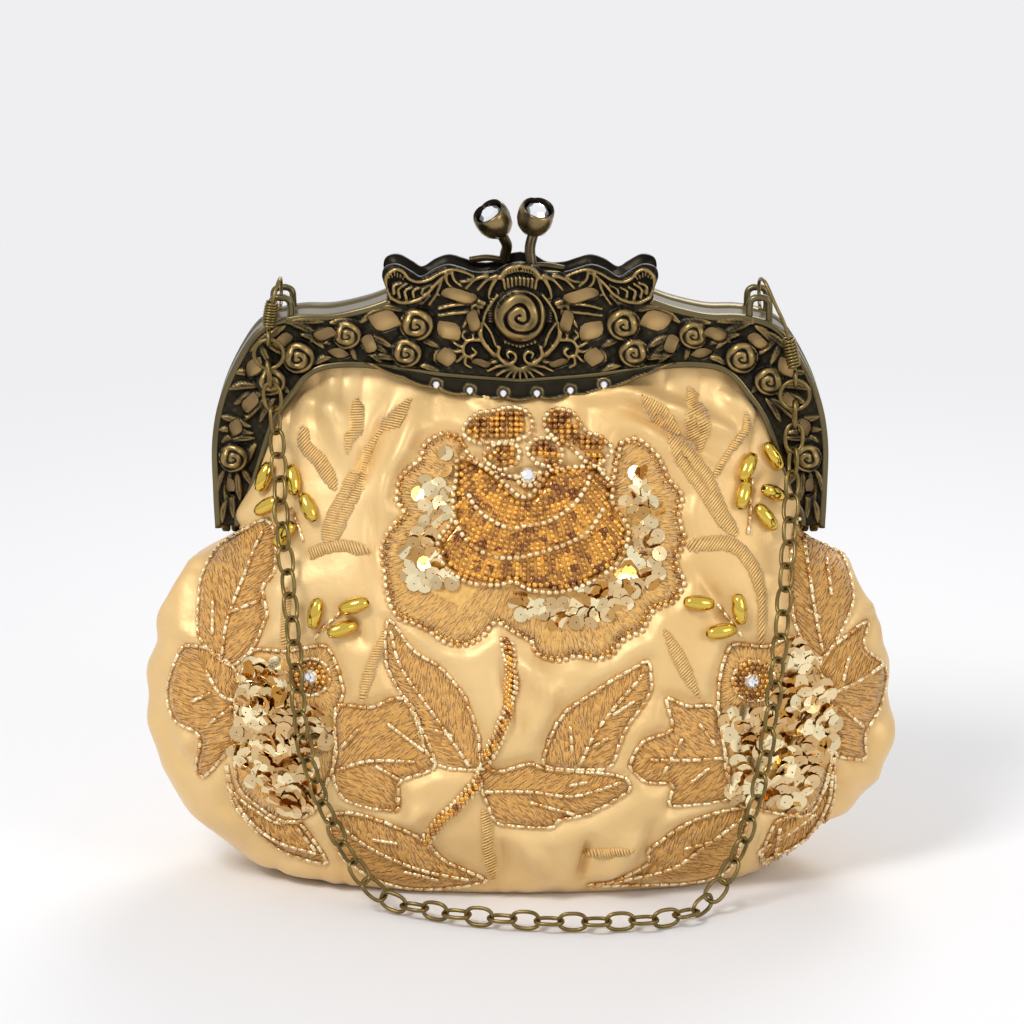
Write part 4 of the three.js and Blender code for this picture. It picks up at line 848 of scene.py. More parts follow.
def seat(pixels, lift=0.0):
    """Where rays through pixels meet the satin, raised in mm, and the way it faces there."""
    places, faces = [], []
    for px, py in np.atleast_2d(np.asarray(pixels, float)):
        place, face, *_ = satin_tree.ray_cast(eye, pixel_ray(px, py).normalized())
        if place is None or place.y > MISSED_Y:
            guess = eye + pixel_ray(px, py).normalized() * (VIEW_DISTANCE + 0.004)
            place, face, *_ = satin_tree.find_nearest(guess)
        if face.dot(eye - place) < 0:
            face = -face
        places.append(place + face * lift * MM)
        faces.append(face)
    return np.array(places), np.array(faces)


def sewn_line(pixels, step, lift, closed=False):
    """A line of even steps in mm along traced pixels: places, ways and faces."""
    curve = spline(pixels, 10, closed)
    spots, faces = seat(curve, lift)
    places, ways = evenly(spots, step * MM, closed)
    nearest = [satin_tree.find_nearest(Vector(p))[1] for p in places]
    up = np.array([n if n.y < 0.3 else -n for n in nearest])
    return places, ways, up


# %% [markdown]
# Every sewn piece starts as a pad that follows the satin: its traced outline is filled with a fine
# triangle net, each point is dropped on the cloth, and the net rises from the edge towards its middle.

# %% Pads
def pad(name, outline, rise, material, lift=0.15, reach=9.0, pitch=3.2):
    """A raised pad over a traced outline, its rim on the satin."""
    rim = spline(outline, 5, True)
    spots = np.vstack([rim, net_inside(rim, pitch, pitch, 0.6 * pitch)])
    count = len(rim)
    edges = [(i, (i + 1) % count) for i in range(count)]
    flat = delaunay_2d_cdt([Vector(p) for p in spots], edges, [], 1, 1e-4)
    drawn = np.array([tuple(v) for v in flat[0]])
    away = distance_to(rim, drawn)
    places, faces = seat(drawn)
    height = np.where(away < 0.05, -0.3, lift + rise * ease(away / reach)) * MM
    places = places + faces * height[:, None]
    made = mesh_piece(name, places, flat[2], material)
    normals = np.array([tuple(p.normal) for p in made.data.polygons])
    if normals[:, 1].mean() > 0:
        made.data.flip_normals()
    return made


def fill_stitches(outline, field, density, length, width, lift, rise=0.0, reach=9.0, keep=None):
    """Short stitches strewn over an outline, each along the field's angle at its place."""
    rim = spline(outline, 5, True)
    low, high = rim.min(0), rim.max(0)
    count = int((high - low).prod() * density)
    spots = low + rng.random((count, 2)) * (high - low)
    spots = spots[inside(rim, spots)]
    if keep is not None:
        spots = spots[keep(spots)]
    angle = field(spots) + rng.normal(0, 0.07, len(spots))
    way = np.stack([np.cos(angle), np.sin(angle)], 1) * length / PIXEL_SIZE * MM / 2
    a, _ = seat(spots - way)
    b, _ = seat(spots + way)
    middle, up = seat(spots)
    away = distance_to(rim, spots)
    middle = middle + up * ((lift + rise * ease(away / reach)) * MM)[:, None]
    ways = b - a
    long = np.clip(np.linalg.norm(ways, axis=1), 0.6 * length * MM, 1.5 * length * MM)
    sizes = np.stack([np.full(len(spots), 0.55 * width * MM), np.full(len(spots), width * MM), long], 1)
    return middle, unit(ways), up, sizes


def gather(parts):
    return [np.concatenate(list(k)) for k in zip(*parts)]


VEIN_LEAN = math.radians(38)


def angle_of(line):
    """Direction field that leans out from a vein: the angle of its nearest stretch, turned to each side."""
    p = spline(line, 6)

    def field(spots):
        middles, ways = (p[1:] + p[:-1]) / 2, np.diff(p, axis=0)
        near = np.linalg.norm(spots[:, None] - middles[None], axis=2).argmin(1)
        way = ways[near]
        off = spots - middles[near]
        side = np.sign(way[:, 0] * off[:, 1] - way[:, 1] * off[:, 0])
        return np.arctan2(way[:, 1], way[:, 0]) + side * VEIN_LEAN

    return field


# %% [markdown]
# A leaf is a pad filled with long and short stitches that lean out from its middle vein. Bugle beads
# outline it and mark its veins.

# %% Leaves
leaf_lift, leaf_rise, BUGLE_STEP = 0.3, 0.9, 3.0
for name, outline in LEAVES.items():
    # The pad's darker colour is painted shade in the gaps between the stitches
    below = pad(name + "_pad", outline, leaf_rise, leaf_pad_painted_shade)
    s = fill_stitches(outline, angle_of(VEINS[name][0]), density=0.17, length=2.4, width=0.5,
                      lift=leaf_lift, rise=leaf_rise)
    threads = scatter(name + "_threads", stitch, *s, leaf_thread)
    lines = [sewn_line(outline, BUGLE_STEP, lift=1.0, closed=True)]
    lines += [sewn_line(vein, BUGLE_STEP, leaf_lift + leaf_rise + 0.5) for vein in VEINS[name]]
    spots, ways, ups = gather(lines)
    tubes = scatter(name + "_bugles", bugle, spots, ways, ups, [MM] * 3, bugle_glass)
    piece = merged(name + "_work", [threads, below, tubes])
    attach(piece, "bag")
    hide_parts(name)
print("leaves done")

# %% [markdown]
# Plain sprigs are satin stitch alone: parallel threads side by side, right across each narrow shape.

# %% Sprigs
def hatch(outline, pitch, lean):
    """Threads right across a narrow shape, as runs of short stitches that follow the cloth."""
    rim = spline(outline, 6, True)
    middle = rim.mean(0)
    _, vectors = np.linalg.eigh(np.cov((rim - middle).T))
    along, across = vectors[:, 1], vectors[:, 0]
    across = across * math.cos(lean) + along * math.sin(lean)
    reach = np.abs((rim - middle) @ along).max()
    step, sample = pitch / PIXEL_SIZE * MM, 1.5
    out = []
    for s in np.arange(-reach, reach, step):
        t = np.arange(-reach, reach, sample)
        row = middle + along * s + across * t[:, None]
        hit = inside(rim, row)
        edges = np.flatnonzero(np.diff(np.concatenate([[0], hit.astype(int), [0]])))
        for a, b in zip(edges[::2], edges[1::2]):
            if b - a >= 2:
                out.append((row[a], row[b - 1]))
    return out


STITCH_RUN = 4.2
parts, beds = [], []
for name, outline in SPRIGS.items():
    beds.append(pad(name + "_bed", outline, rise=0.45, material=sprig_thread, reach=4.0))
    for a, b in hatch(outline, 0.8, 0.35):
        pieces = max(1, int(round(np.linalg.norm(b - a) * PIXEL_SIZE / MM / STITCH_RUN)))
        ends = a + (b - a) * np.linspace(0, 1, pieces + 1)[:, None]
        spots, _ = seat(ends)
        middle, up = seat((ends[1:] + ends[:-1]) / 2)
        bow = np.sin(math.pi * (np.arange(pieces) + 0.5) / pieces)
        way = np.diff(spots, axis=0)
        long = np.linalg.norm(way, axis=1)
        sizes = np.stack([np.full(pieces, 0.5 * MM), np.full(pieces, 0.85 * MM), long * 1.05], 1)
        parts.append((middle + up * ((0.5 + 0.45 * bow) * MM)[:, None], unit(way), up, sizes))
threads = scatter("sprig_stitches", stitch, *gather(parts), sprig_thread)
threads = merged("sprig_threads", [threads] + beds)
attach(threads, "bag")
print("sprig stitches", sum(len(p[0]) for p in parts))

# %% [markdown]
# The rose is the showpiece. Its outer petals are a satin-stitch border, with sequins inside it and a
# scalloped edge of pale beads. Its cup is packed with rows of amber seed beads between pale lips.

# %% Rose
ROSE_EYE, PETAL_EYE = np.array([530.0, 425.0]), np.array([540.0, 340.0])
CRYSTAL = (528, 478)


def ring_of_pixels(middle, wide, tall, count):
    """Pixels evenly round an oval, with its half width and half height."""
    return [(middle[0] + wide * math.cos(a), middle[1] + tall * math.sin(a))
            for a in np.linspace(0, 2 * math.pi, count, endpoint=False)]


def radial(spots):
    return np.arctan2(spots[:, 1] - 520, spots[:, 0] - 536)


rose_rim, bowl_rim = spline(ROSE, 5, True), spline(BOWL, 5, True)


def outside_bowl(spots):
    return ~inside(bowl_rim, spots)


below = pad("rose_pad", ROSE, rise=1.2, material=gold_thread, reach=12.0)
borders = fill_stitches(ROSE, radial, density=0.2, length=2.6, width=0.5, lift=0.35, rise=1.2, reach=12.0,
                        keep=lambda p: outside_bowl(p) & (distance_to(rose_rim, p) < 34))
border_threads = scatter("rose_threads", stitch, *borders, gold_thread)
edge = sewn_line(ROSE, step=2.2, lift=1.1, closed=True)
inner = [sewn_line(line, step=2.0, lift=3.6) for line in LIPS]
inner.append(sewn_line(BOWL, step=2.0, lift=2.7, closed=True))
around = [sewn_line(ring_of_pixels(CRYSTAL, wide=12, tall=10, count=12), step=1.8, lift=3.2, closed=True)]
petal_edges = [sewn_line(outline, step=1.9, lift=1.9, closed=True) for outline in PETALS.values()]
pale = gather([edge] + inner + around + petal_edges)
edge_beads = scatter("rose_edges", seed, *pale, [0.78 * MM, 0.78 * MM, 1.15 * MM], bugle_glass)
second = spline(ROSE, 8, True)
middle = second.mean(0)
second_line = sewn_line(middle + (second - middle) * 0.965, step=1.7, lift=0.9, closed=True)
amber_edge = scatter("rose_amber_edge", seed, *second_line, [0.72 * MM] * 3, amber_glass)

# Rows of seed beads, drawn as rings of rays from a point above the cup
ROW_PITCH, BEAD_STEP = 7.0, 4.9
spots = []
for band in range(4):
    inner_radius = 40 + band * 40
    middle_radius = inner_radius + 20
    for k in range(8):
        radius = inner_radius + k * BEAD_STEP
        count = int(2 * math.pi * middle_radius / ROW_PITCH)
        angles = 2 * math.pi * (np.arange(count) + 0.5 * (band % 2)) / count
        spots.append(ROSE_EYE + np.stack([np.cos(angles), np.sin(angles)], 1) * radius)
spots = np.concatenate(spots)
spots = spots[inside(bowl_rim, spots) & (distance_to(bowl_rim, spots) > 3.4)]
for line in LIPS:
    curve = spline(line, 8)
    near = np.linalg.norm(spots[:, None] - curve[None], axis=2).min(1)
    spots = spots[near > 3.0]
spots = spots[np.linalg.norm(spots - CRYSTAL, axis=1) > 13]


def bead_fill(spots, centre, lift):
    """Beads at pixels, threaded along rays from a centre."""
    places, ups = seat(spots, lift)
    outwards = (spots - centre) / np.linalg.norm(spots - centre, axis=1, keepdims=True)
    ahead, _ = seat(spots + 2.0 * outwards, lift)
    return places, unit(ahead - places), ups


bowl_fill = bead_fill(spots, ROSE_EYE, 2.3)
fills = [bowl_fill]
for name, outline in PETALS.items():
    rim = spline(outline, 5, True)
    fills.append(bead_fill(net_inside(rim, 6.4, 5.2, 3.2), PETAL_EYE, 1.5))
rose_beads = scatter("rose_seed_beads", seed, *gather(fills), [0.92 * MM, 0.92 * MM, 1.15 * MM], amber_glass)
bowl_pad = pad("rose_bowl_pad", BOWL, rise=1.6, material=amber_glass, lift=0.9)
petal_pads = [pad("rose_" + name + "_pad", outline, rise=0.6, material=amber_glass)
              for name, outline in PETALS.items()]


def sequins_in(keep, low, high, pitch, lift, lean):
    """Overlapping sequins in staggered rows where keep says so, each tipped its own way."""
    rows = []
    for k, y in enumerate(np.arange(low[1], high[1], pitch * 0.8)):
        xs = np.arange(low[0], high[0], pitch) + (k % 2) * pitch / 2
        rows.append(np.stack([xs, np.full(len(xs), y)], 1))
    spots = np.concatenate(rows)
    spots = spots + rng.normal(0, 1.1, spots.shape)
    spots = spots[keep(spots)]
    places, ups = seat(spots, lift)
    places = places + ups * (rng.random((len(spots), 1)) * 0.5 * MM)
    tipped = unit(ups + np.array([0, 0, -0.22]) + rng.normal(0, lean, ups.shape))
    return places, tipped, np.cross(tipped, [0.3, 0.1, 1.0])


def rose_sequin_zone(p):
    """Pixels between the cup and the stitched border, but not above the cup or at its lower left."""
    x, y = p.T
    near = distance_to(bowl_rim, p)
    above, lower_left = (y < 500) & (x > 455) & (x < 612), (x < 510) & (y > 590)
    return (inside(rose_rim, p) & (distance_to(rose_rim, p) > 19) & outside_bowl(p)
            & (near > 4) & (near < 40) & ~above & ~lower_left)


flashes = sequins_in(rose_sequin_zone, rose_rim.min(0), rose_rim.max(0), pitch=12.5, lift=2.0, lean=0.24)
rose_sequins = scatter("rose_sequins", sequin, *flashes, [0.86 * MM] * 3, sequin_foil)
rose = merged("rose_work", [border_threads, below, edge_beads, amber_edge])
rose_cup = merged("rose_cup", [rose_beads, bowl_pad] + petal_pads)
faceted(rose_sequins)
for piece, slot_name in ((rose, "embroidery"), (rose_cup, "seed_beads"), (rose_sequins, "sequins")):
    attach(piece, "bag")
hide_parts("rose_applique")
print("rose: seed beads", len(fills[0][0]), "sequins", len(flashes[0]))

# %% [markdown]
# The side flowers are cups of gold sequins, with a nest of amber beads round a crystal at the top.

# %% Side flowers
# Pixels round the sequins of each flower
SEQUIN_ZONES = {
    "left_flower": [(248, 660), (280, 656), (291, 676), (291, 693), (304, 704), (323, 709), (328, 741),
                    (323, 757), (315, 800), (304, 816), (285, 816), (267, 792), (242, 773), (237, 754),
                    (238, 728), (242, 704)],
    "right_flower": [(781, 650), (800, 646), (812, 666), (827, 685), (832, 709), (831, 746), (821, 768),
                     (805, 784), (797, 808), (776, 808), (764, 795), (733, 803), (729, 784), (733, 768),
                     (728, 741), (724, 722), (728, 706), (749, 704), (768, 698), (781, 682)],
}
# The middle pixel of each nest of beads, and its radius
NESTS = {"left_flower": (312, 676, 19), "right_flower": (752, 680, 21)}
for name, outline in FLOWERS.items():
    rim = spline(SEQUIN_ZONES[name], 5, True)
    nx, ny, nest = NESTS[name]
    below = pad(name + "_pad", outline, rise=1.3, material=leaf_thread)

    def from_nest(p):
        return np.hypot(p[:, 0] - nx, p[:, 1] - ny)

    shown = sequins_in(lambda p: inside(rim, p) & (from_nest(p) > nest + 2), rim.min(0), rim.max(0),
                       pitch=12.0, lift=1.9, lean=0.27)
    stitches = fill_stitches(outline, lambda p: np.arctan2(p[:, 1] - ny, p[:, 0] - nx), density=0.17,
                             length=2.6, width=0.5, lift=0.3, rise=1.3,
                             keep=lambda p: ~inside(rim, p) | (from_nest(p) < nest + 6))
    threads = scatter(name + "_threads", stitch, *stitches, gold_thread)
    discs = scatter(name + "_sequins", sequin, *shown, [1.0 * MM] * 3, sequin_foil)
    faceted(discs)
    edge = sewn_line(outline, step=2.9, lift=1.1, closed=True)
    ring = sewn_line(ring_of_pixels((nx, ny), nest, 0.95 * nest, 14), step=2.9, lift=1.9, closed=True)
    spots, ways, ups = gather([edge, ring])
    tubes = scatter(name + "_bugles", bugle, spots, ways, ups, [MM] * 3, bugle_glass)
    turns = []
    for radius in np.arange(8.5, nest - 2, 5.0):
        count = int(2 * math.pi * radius / 5.4)
        a = 2 * math.pi * np.arange(count) / count
        turns.append(np.stack([nx + radius * np.cos(a), ny + radius * np.sin(a)], 1))
    spots = np.concatenate(turns)
    nest_beads = scatter(name + "_nest", seed, *bead_fill(spots, np.array([nx, ny + 0.1]), 1.9),
                         [0.85 * MM] * 3, amber_glass)
    work = merged(name + "_work", [threads, below, tubes, nest_beads])
    for piece, slot_name in ((work, "embroidery"), (discs, "sequins")):
        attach(piece, "bag")
    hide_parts(name)
    print(name, "sequins", len(shown[0]))

# %% [markdown]
# The stem is a rope: short slanting rows of amber and pale beads, laid side by side down a line.

# %% Stem
STEM_HALF = 6.0
parts, pale_parts = [], []
for line in (STEM, STEM_FOOT):
    curve = spline(line, 8)
    spots, ways = evenly(curve, 5.2)
    across = np.stack([-ways[:, 1], ways[:, 0]], 1)
    slant = across * 0.75 - ways * 0.66
    for k, offset in enumerate((-0.85, -0.28, 0.28, 0.85)):
        row = spots + slant * offset * STEM_HALF
        height = 1.1 + 1.0 * (1 - abs(offset))
        places, ups = seat(row, height)
        ahead, _ = seat(row + slant, height)
        (pale_parts if k % 3 == 0 else parts).append((places, unit(ahead - places), ups))
amber_rows = scatter("stem_amber", seed, *gather(parts), [0.8 * MM, 0.8 * MM, 1.1 * MM], amber_glass)
pale_rows = scatter("stem_pale", seed, *gather(pale_parts), [0.7 * MM, 0.7 * MM, 1.5 * MM], bugle_glass)
stem = merged("stem_rope", [amber_rows, pale_rows])
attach(stem, "bag")
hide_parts("beaded_stem")

# %% [markdown]
# Oat beads hang in sprays beside the flowers: gilded barrels, each with a near-black disc at either end,
# painted shade inside its thread hole.

# %% Sprays
# Middle pixel and angle in degrees of each oat bead, and the bugle thread they spring from
SPRAYS = {
    "left_upper_spray": ([(269, 478, 70), (297, 481, 97), (311, 508, 112), (272, 507, 185), (288, 534, 70)],
                         [(292, 508), (299, 524), (304, 541)]),
    "right_upper_spray": ([(744, 468, 72), (769, 457, 118), (741, 496, 76), (767, 491, 165),
                          (762, 518, 128)], [(752, 478), (751, 500), (747, 535)]),
    "left_lower_spray": ([(317, 613, 80), (356, 605, 10), (341, 632, 8)], [(314, 638), (328, 624),
                         (343, 610)]),
    "right_lower_spray": ([(697, 603, 172), (739, 608, 103), (719, 632, 10)], [(716, 604), (728, 620),
                          (742, 636)]),
}
for name, (beads, thread) in SPRAYS.items():
    spots = np.array([b[:2] for b in beads], float)
    turn = np.radians([b[2] for b in beads])
    step = np.stack([np.cos(turn), -np.sin(turn)], 1) * 4
    places, ups = seat(spots, 2.6)
    ahead, _ = seat(spots + step, 2.6)
    behind, _ = seat(spots - step, 2.6)
    ways = unit(ahead - behind)
    barrels = scatter(name + "_oats", oat, places, ways, ups, [MM] * 3, gilt_plastic)
    holes = scatter(name + "_holes", oat_hole, places, ways, ups, [MM] * 3, hole_painted_shade)
    tubes = scatter(name + "_thread", bugle, *sewn_line(thread, step=2.9, lift=0.9), [MM] * 3, bugle_glass)
    piece = merged(name + "_beads", [barrels, holes, tubes])
    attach(piece, "bag")
    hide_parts(name)

# %% [markdown]
# One crystal sits in the rose and one in the nest of each side flower: its pixel, size and lift in mm.

# %% Crystals on the cloth
GEMS = {"rose_crystal": (CRYSTAL, 2.5, 3.4), "left_flower_crystal": ((312, 676), 2.3, 2.6),
        "right_flower_crystal": ((750, 680), 2.4, 2.6)}
for name, (pixel, size, lift) in GEMS.items():
    places, ups = seat([pixel], lift)
    gem = scatter(name + "_gem", stone, places, ups, [[1, 0, 0.2]], [size * MM] * 3, rhinestone)
    faceted(gem)
    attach(gem, "bag")
    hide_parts(name)
print("needlework done")

# %% [markdown]
# ## The cast frame
# The casting is a relief: a height over every point of a pierced plate. Each ornament is drawn as a
# stroke, a ridge along a line that swells and tapers, or as a rose, a dome cut by a spiral. The highest
# one wins at every point, like clay laid on clay. What stands above its surroundings is rubbed bright
# and what lies below stays dark, which is how an antiqued finish is made.

# %% Casting finishes
def antiqued(name, dark, mid, bright, roughness):
    """Brass blackened and then rubbed, by the attribute that says how much a point stands out."""
    made, tree, shader = finish(name, Metallic=0.92, Roughness=roughness)
    rub = add(tree, "ShaderNodeAttribute", attribute_name="rubbed")
    stain = speckle(tree, 220.0, 4.0)
    shake = add(tree, "ShaderNodeMapRange", {"Value": stain.outputs["Fac"], "To Min": -0.16, "To Max": 0.16})
    level = add(tree, "ShaderNodeMath", {0: rub.outputs["Fac"], 1: shake.outputs["Result"]}, operation="ADD")
    ramp = add(tree, "ShaderNodeValToRGB", {"Fac": level.outputs[0]})
    stops = ramp.color_ramp.elements
    stops[0].position, stops[0].color = 0.18, linear(dark)
    stops[1].position, stops[1].color = 0.85, linear(bright)
    stops.new(0.5).color = linear(mid)
    tree.links.new(ramp.outputs["Color"], shader.inputs["Base Color"])
    return made


cast_brass = antiqued("antiqued_cast_brass", "14110D", "332D20", "967D4E", roughness=0.34)
band_brass, tree, shader = finish("rubbed_band_brass", Metallic=0.95, Roughness=0.3)
two_tone(tree, shader, speckle(tree, 60.0, 5.0).outputs["Fac"], "4A422F", "7F7250")
chain_brass, tree, shader = finish("aged_chain_brass", Metallic=0.95, Roughness=0.33)
two_tone(tree, shader, speckle(tree, 240.0, 4.0).outputs["Fac"], "4D4126", "97814C")

# %% [markdown]
# The plate's outlines are for its right half, as X and Z in mm: the crest, the outer shoulder down to
# the hinge, and the inner edge. The left half mirrors it.

# %% Outlines of the plate
CREST = [
    (0, 189), (4, 188.2), (8, 186), (13, 186), (17, 187.2), (21, 188.2), (25, 187), (29, 184.6),
    (32, 186.2), (36, 188.3), (39.5, 187.6), (40.6, 185), (39.4, 181),
]
SHOULDER = [
    (39, 178), (46, 175.5), (56, 173.3), (66, 173), (75, 170.5), (81.3, 164), (88.3, 150), (91.2, 136),
    (91.2, 120), (90.8, 109),
]
INNER = [(0, 153.2), (22, 155), (45, 158.2), (56, 158), (62, 155.8), (67, 150.4), (73.4, 140.3), (80.2, 120),
         (84, 113), (84.2, 109)]
# Each opening's X, Z, half length, half width and turn in degrees, and each rose's X, Z and radius
PIERCINGS = [
    (18, 179, 5.4, 2.2, 10), (13.8, 171.3, 3.4, 2, 90), (21, 168.4, 4.2, 2.8, 40),
    (21.8, 160.4, 3.2, 2.6, 80), (11.4, 158.6, 3, 1.3, 10), (40, 171.4, 5, 3, 10),
    (44.6, 164.4, 3, 2.2, 80), (57.6, 167.4, 3.4, 2, -10), (53.6, 161.6, 3.6, 1.4, 10),
    (70, 165.4, 3.2, 2, -30), (78.6, 157.4, 3.8, 2, -60), (80, 146.5, 3.6, 2, -65),
    (84.4, 139, 3, 1.8, -75), (86.2, 121, 3, 1.3, 80),
]
ROSES = [(30.5, 170.5, 4.8), (33.5, 162, 4.3), (51, 167.4, 4.1), (65.4, 160.6, 4.6), (73.6, 153.4, 4.2),
         (85.2, 130, 4.2), (23.5, 160.6, 2.4)]
PLATE_FACE, PLATE_BACK, PARTING = -8.4, -6.2, -0.4
RAIL_FACE = -10.2
ENLARGED = 6
BOSS_HEIGHT = 173.2


def from_enlargement(points):
    """Points on a six times enlargement of the crest, as X and Z in mm on the casting's face."""
    out = []
    for x, y in points:
        way = pixel_ray(380 + x / ENLARGED, 240 + y / ENLARGED)
        share = (PLATE_FACE * MM - eye.y) / way.y
        place = eye + way * share
        out.append((place.x / MM, place.z / MM))
    return out


# %% [markdown]
# The strokes of the crest, traced for the left half and mirrored: line, half width at its start and
# end, and rise, the line on the enlargement and the rest in mm.

# %% Strokes of the crest
CREST_STROKES = [
    ([(62, 340), (36, 285), (42, 215), (90, 176), (138, 190), (175, 232), (225, 250), (290, 240),
     (360, 200), (430, 176), (500, 190), (560, 215)], 0.55, 0.4, 1.3),
    ([(66, 345), (130, 372), (215, 362), (285, 318), (335, 262), (385, 215), (430, 190)], 0.6, 0.45, 1.5),
    ([(84, 318), (84, 275), (128, 256)], 0.6, 0.35, 1.4),
    ([(118, 340), (112, 295), (158, 262)], 0.6, 0.35, 1.4),
    ([(158, 348), (150, 306), (190, 282)], 0.6, 0.35, 1.4),
    ([(202, 338), (200, 306), (240, 284)], 0.5, 0.3, 1.2),
    ([(250, 318), (262, 292), (300, 272)], 0.45, 0.3, 1.1),
    ([(398, 200), (402, 250), (438, 292)], 0.65, 0.3, 1.3),
    ([(432, 196), (446, 240), (486, 274)], 0.6, 0.3, 1.2),
    ([(372, 236), (340, 320), (296, 386)], 0.55, 0.3, 1.1),
    ([(300, 330), (262, 372), (240, 405)], 0.5, 0.3, 1.0),
    ([(250, 372), (196, 396), (140, 412)], 0.5, 0.3, 1.0),
    ([(190, 380), (130, 392), (90, 372)], 0.45, 0.3, 0.9),
    ([(700, 214), (640, 240), (588, 296)], 0.75, 0.35, 1.3),
    ([(692, 236), (664, 290), (652, 344)], 0.8, 0.3, 1.4),
    ([(640, 212), (570, 236), (518, 288)], 0.65, 0.3, 1.2),
    ([(560, 226), (520, 246), (484, 250)], 0.5, 0.3, 1.0),
    ([(624, 378), (540, 346), (450, 346), (346, 326)], 0.75, 0.3, 1.3),
    ([(610, 398), (520, 380), (430, 392), (352, 412)], 0.75, 0.3, 1.3),
    ([(590, 424), (520, 432), (440, 440), (352, 452)], 0.6, 0.3, 1.1),
    ([(560, 372), (545, 440), (500, 520)], 0.75, 0.3, 1.3),
    ([(588, 380), (590, 440), (560, 500)], 0.55, 0.3, 1.1),
    ([(704, 330), (640, 420), (616, 500)], 0.5, 0.4, 1.4),
    ([(600, 508), (606, 580), (650, 650), (720, 704), (792, 742)], 0.95, 0.5, 1.5),
    ([(628, 500), (668, 560), (696, 640)], 0.5, 0.3, 1.2),
    ([(650, 630), (664, 680), (720, 730)], 0.45, 0.3, 1.1),
    ([(716, 640), (712, 690), (750, 736), (800, 730), (816, 696), (792, 668), (762, 678),
     (772, 704)], 0.6, 0.4, 1.7),
    ([(596, 596), (532, 600), (500, 640), (510, 686), (550, 696), (576, 672), (556, 650)], 0.6, 0.4, 1.6),
    ([(494, 640), (456, 622), (430, 592)], 0.6, 0.3, 1.2),
    ([(488, 664), (444, 668), (412, 650)], 0.6, 0.3, 1.2),
    ([(498, 692), (470, 722), (440, 726)], 0.55, 0.3, 1.2),
    ([(516, 702), (512, 742), (544, 764)], 0.55, 0.3, 1.2),
    ([(548, 706), (566, 742), (606, 752)], 0.5, 0.3, 1.1),
    ([(520, 600), (490, 570), (510, 546)], 0.5, 0.3, 1.1),
    ([(560, 590), (560, 556), (590, 540)], 0.5, 0.3, 1.1),
    ([(792, 748), (710, 756), (648, 784)], 0.7, 0.3, 1.3),
    ([(804, 758), (740, 786), (700, 812)], 0.7, 0.3, 1.3),
    ([(816, 764), (776, 800), (756, 828)], 0.65, 0.3, 1.3),
    ([(828, 768), (806, 808), (800, 836)], 0.6, 0.3, 1.3),
    ([(841, 770), (841, 810), (841, 842)], 0.6, 0.3, 1.3),
    ([(700, 726), (640, 740), (600, 726)], 0.6, 0.3, 1.1),
    ([(716, 226), (768, 170), (841, 152)], 0.6, 0.7, 1.6),
    ([(730, 232), (775, 196), (841, 184)], 0.35, 0.35, 1.3),
]
# Rows of like strokes; the crest's middle is at 841 on the enlargement
MID = 841
CREST_STROKES += [([(x, 222 + abs(MID - x) * 0.12), (x + (MID - x) * 0.1, 302 - abs(MID - x) * 0.1)],
                   0.42, 0.42, 1.5) for x in (741, 766, 791, 816, 841)]
CREST_STROKES += [([(x + (MID - x) * 0.12, 578), (x, 640 - abs(MID - x) * 0.3)], 0.38, 0.38, 1.5)
                  for x in (751, 774, 797, 820, 841)]
CREST_STROKES += [([(656, y), (686, y)], 0.3, 0.3, 1.1) for y in range(350, 500, 17)]
CREST_STROKES += [([(x, 158 + (MID - x) * 0.25), (x, 180 + (MID - x) * 0.25)], 0.2, 0.2, 1.75)
                  for x in range(745, MID, 16)]
CREST_STROKES += [([(46 + 20 * k, 190 + 9 * abs(k - 2)), (58 + 16 * k, 216 + 6 * abs(k - 2))],
                   0.24, 0.2, 1.5) for k in range(6)]

# %% [markdown]
# The shoulders carry sprays of leaves between the roses. Each leaf is a short blade with a groove along
# its middle: base and tip in mm on the right half, and its half width.

# %% Leaves of the shoulders
BLADES = [
    ((68.5, 171.5), (60, 167.6), 1.5), ((69, 171), (58, 171.3), 1.3), ((68.8, 172), (64, 177), 1.5),
    ((69.4, 170), (74.5, 165), 1.4), ((71, 169), (79.5, 162.5), 1.3), ((64.5, 167.5), (56, 164.5), 1.3),
    ((58, 163.5), (63.5, 168), 1.2), ((56, 171), (47, 171.2), 1.3), ((47, 171), (40, 175.2), 1.2),
    ((46.5, 166), (39.5, 162), 1.4), ((47, 164.8), (41, 158.8), 1.3), ((37.6, 163.6), (44.6, 167), 1.2),
    ((37, 160), (43, 160.6), 1.2), ((49.6, 163.4), (48.6, 159.8), 1.0), ((29, 165.6), (24, 163.6), 1.1),
    ((31, 157.6), (38, 157.4), 1.1), ((29.4, 158), (24, 156.2), 1.1), ((34, 174.6), (41, 175.6), 1.2),
    ((36.5, 178), (33, 174.4), 1.2), ((60.5, 158.5), (56, 160.5), 1.2), ((70.5, 161.5), (76, 166), 1.2),
    ((62, 165), (57.5, 169.5), 1.1), ((74, 158.5), (76.5, 164.5), 1.1), ((76.6, 155), (84.5, 156), 1.3),
    ((77, 152), (86, 151), 1.4), ((76, 149.5), (84.5, 146.5), 1.5), ((74.5, 148), (81.5, 141.5), 1.5),
    ((72.8, 148), (77, 141), 1.3), ((70.5, 152.5), (68.4, 149.6), 1.0), ((80, 139.5), (88.6, 142.5), 1.3),
    ((79.4, 137.5), (89.4, 138.6), 1.3), ((79, 136), (86.6, 134.9), 1.2), ((78.6, 134), (81, 128), 1.3),
    ((82.5, 126.5), (79.5, 121.5), 1.3), ((84, 125.5), (83.4, 117), 1.4), ((86, 125.5), (87.6, 116), 1.4),
    ((87.6, 126.5), (90, 119.5), 1.1), ((85.6, 119), (85.4, 111.5), 1.2), ((87.4, 117), (88.8, 110), 1.2),
    ((84.8, 136.5), (88.5, 134.5), 1.0),
]
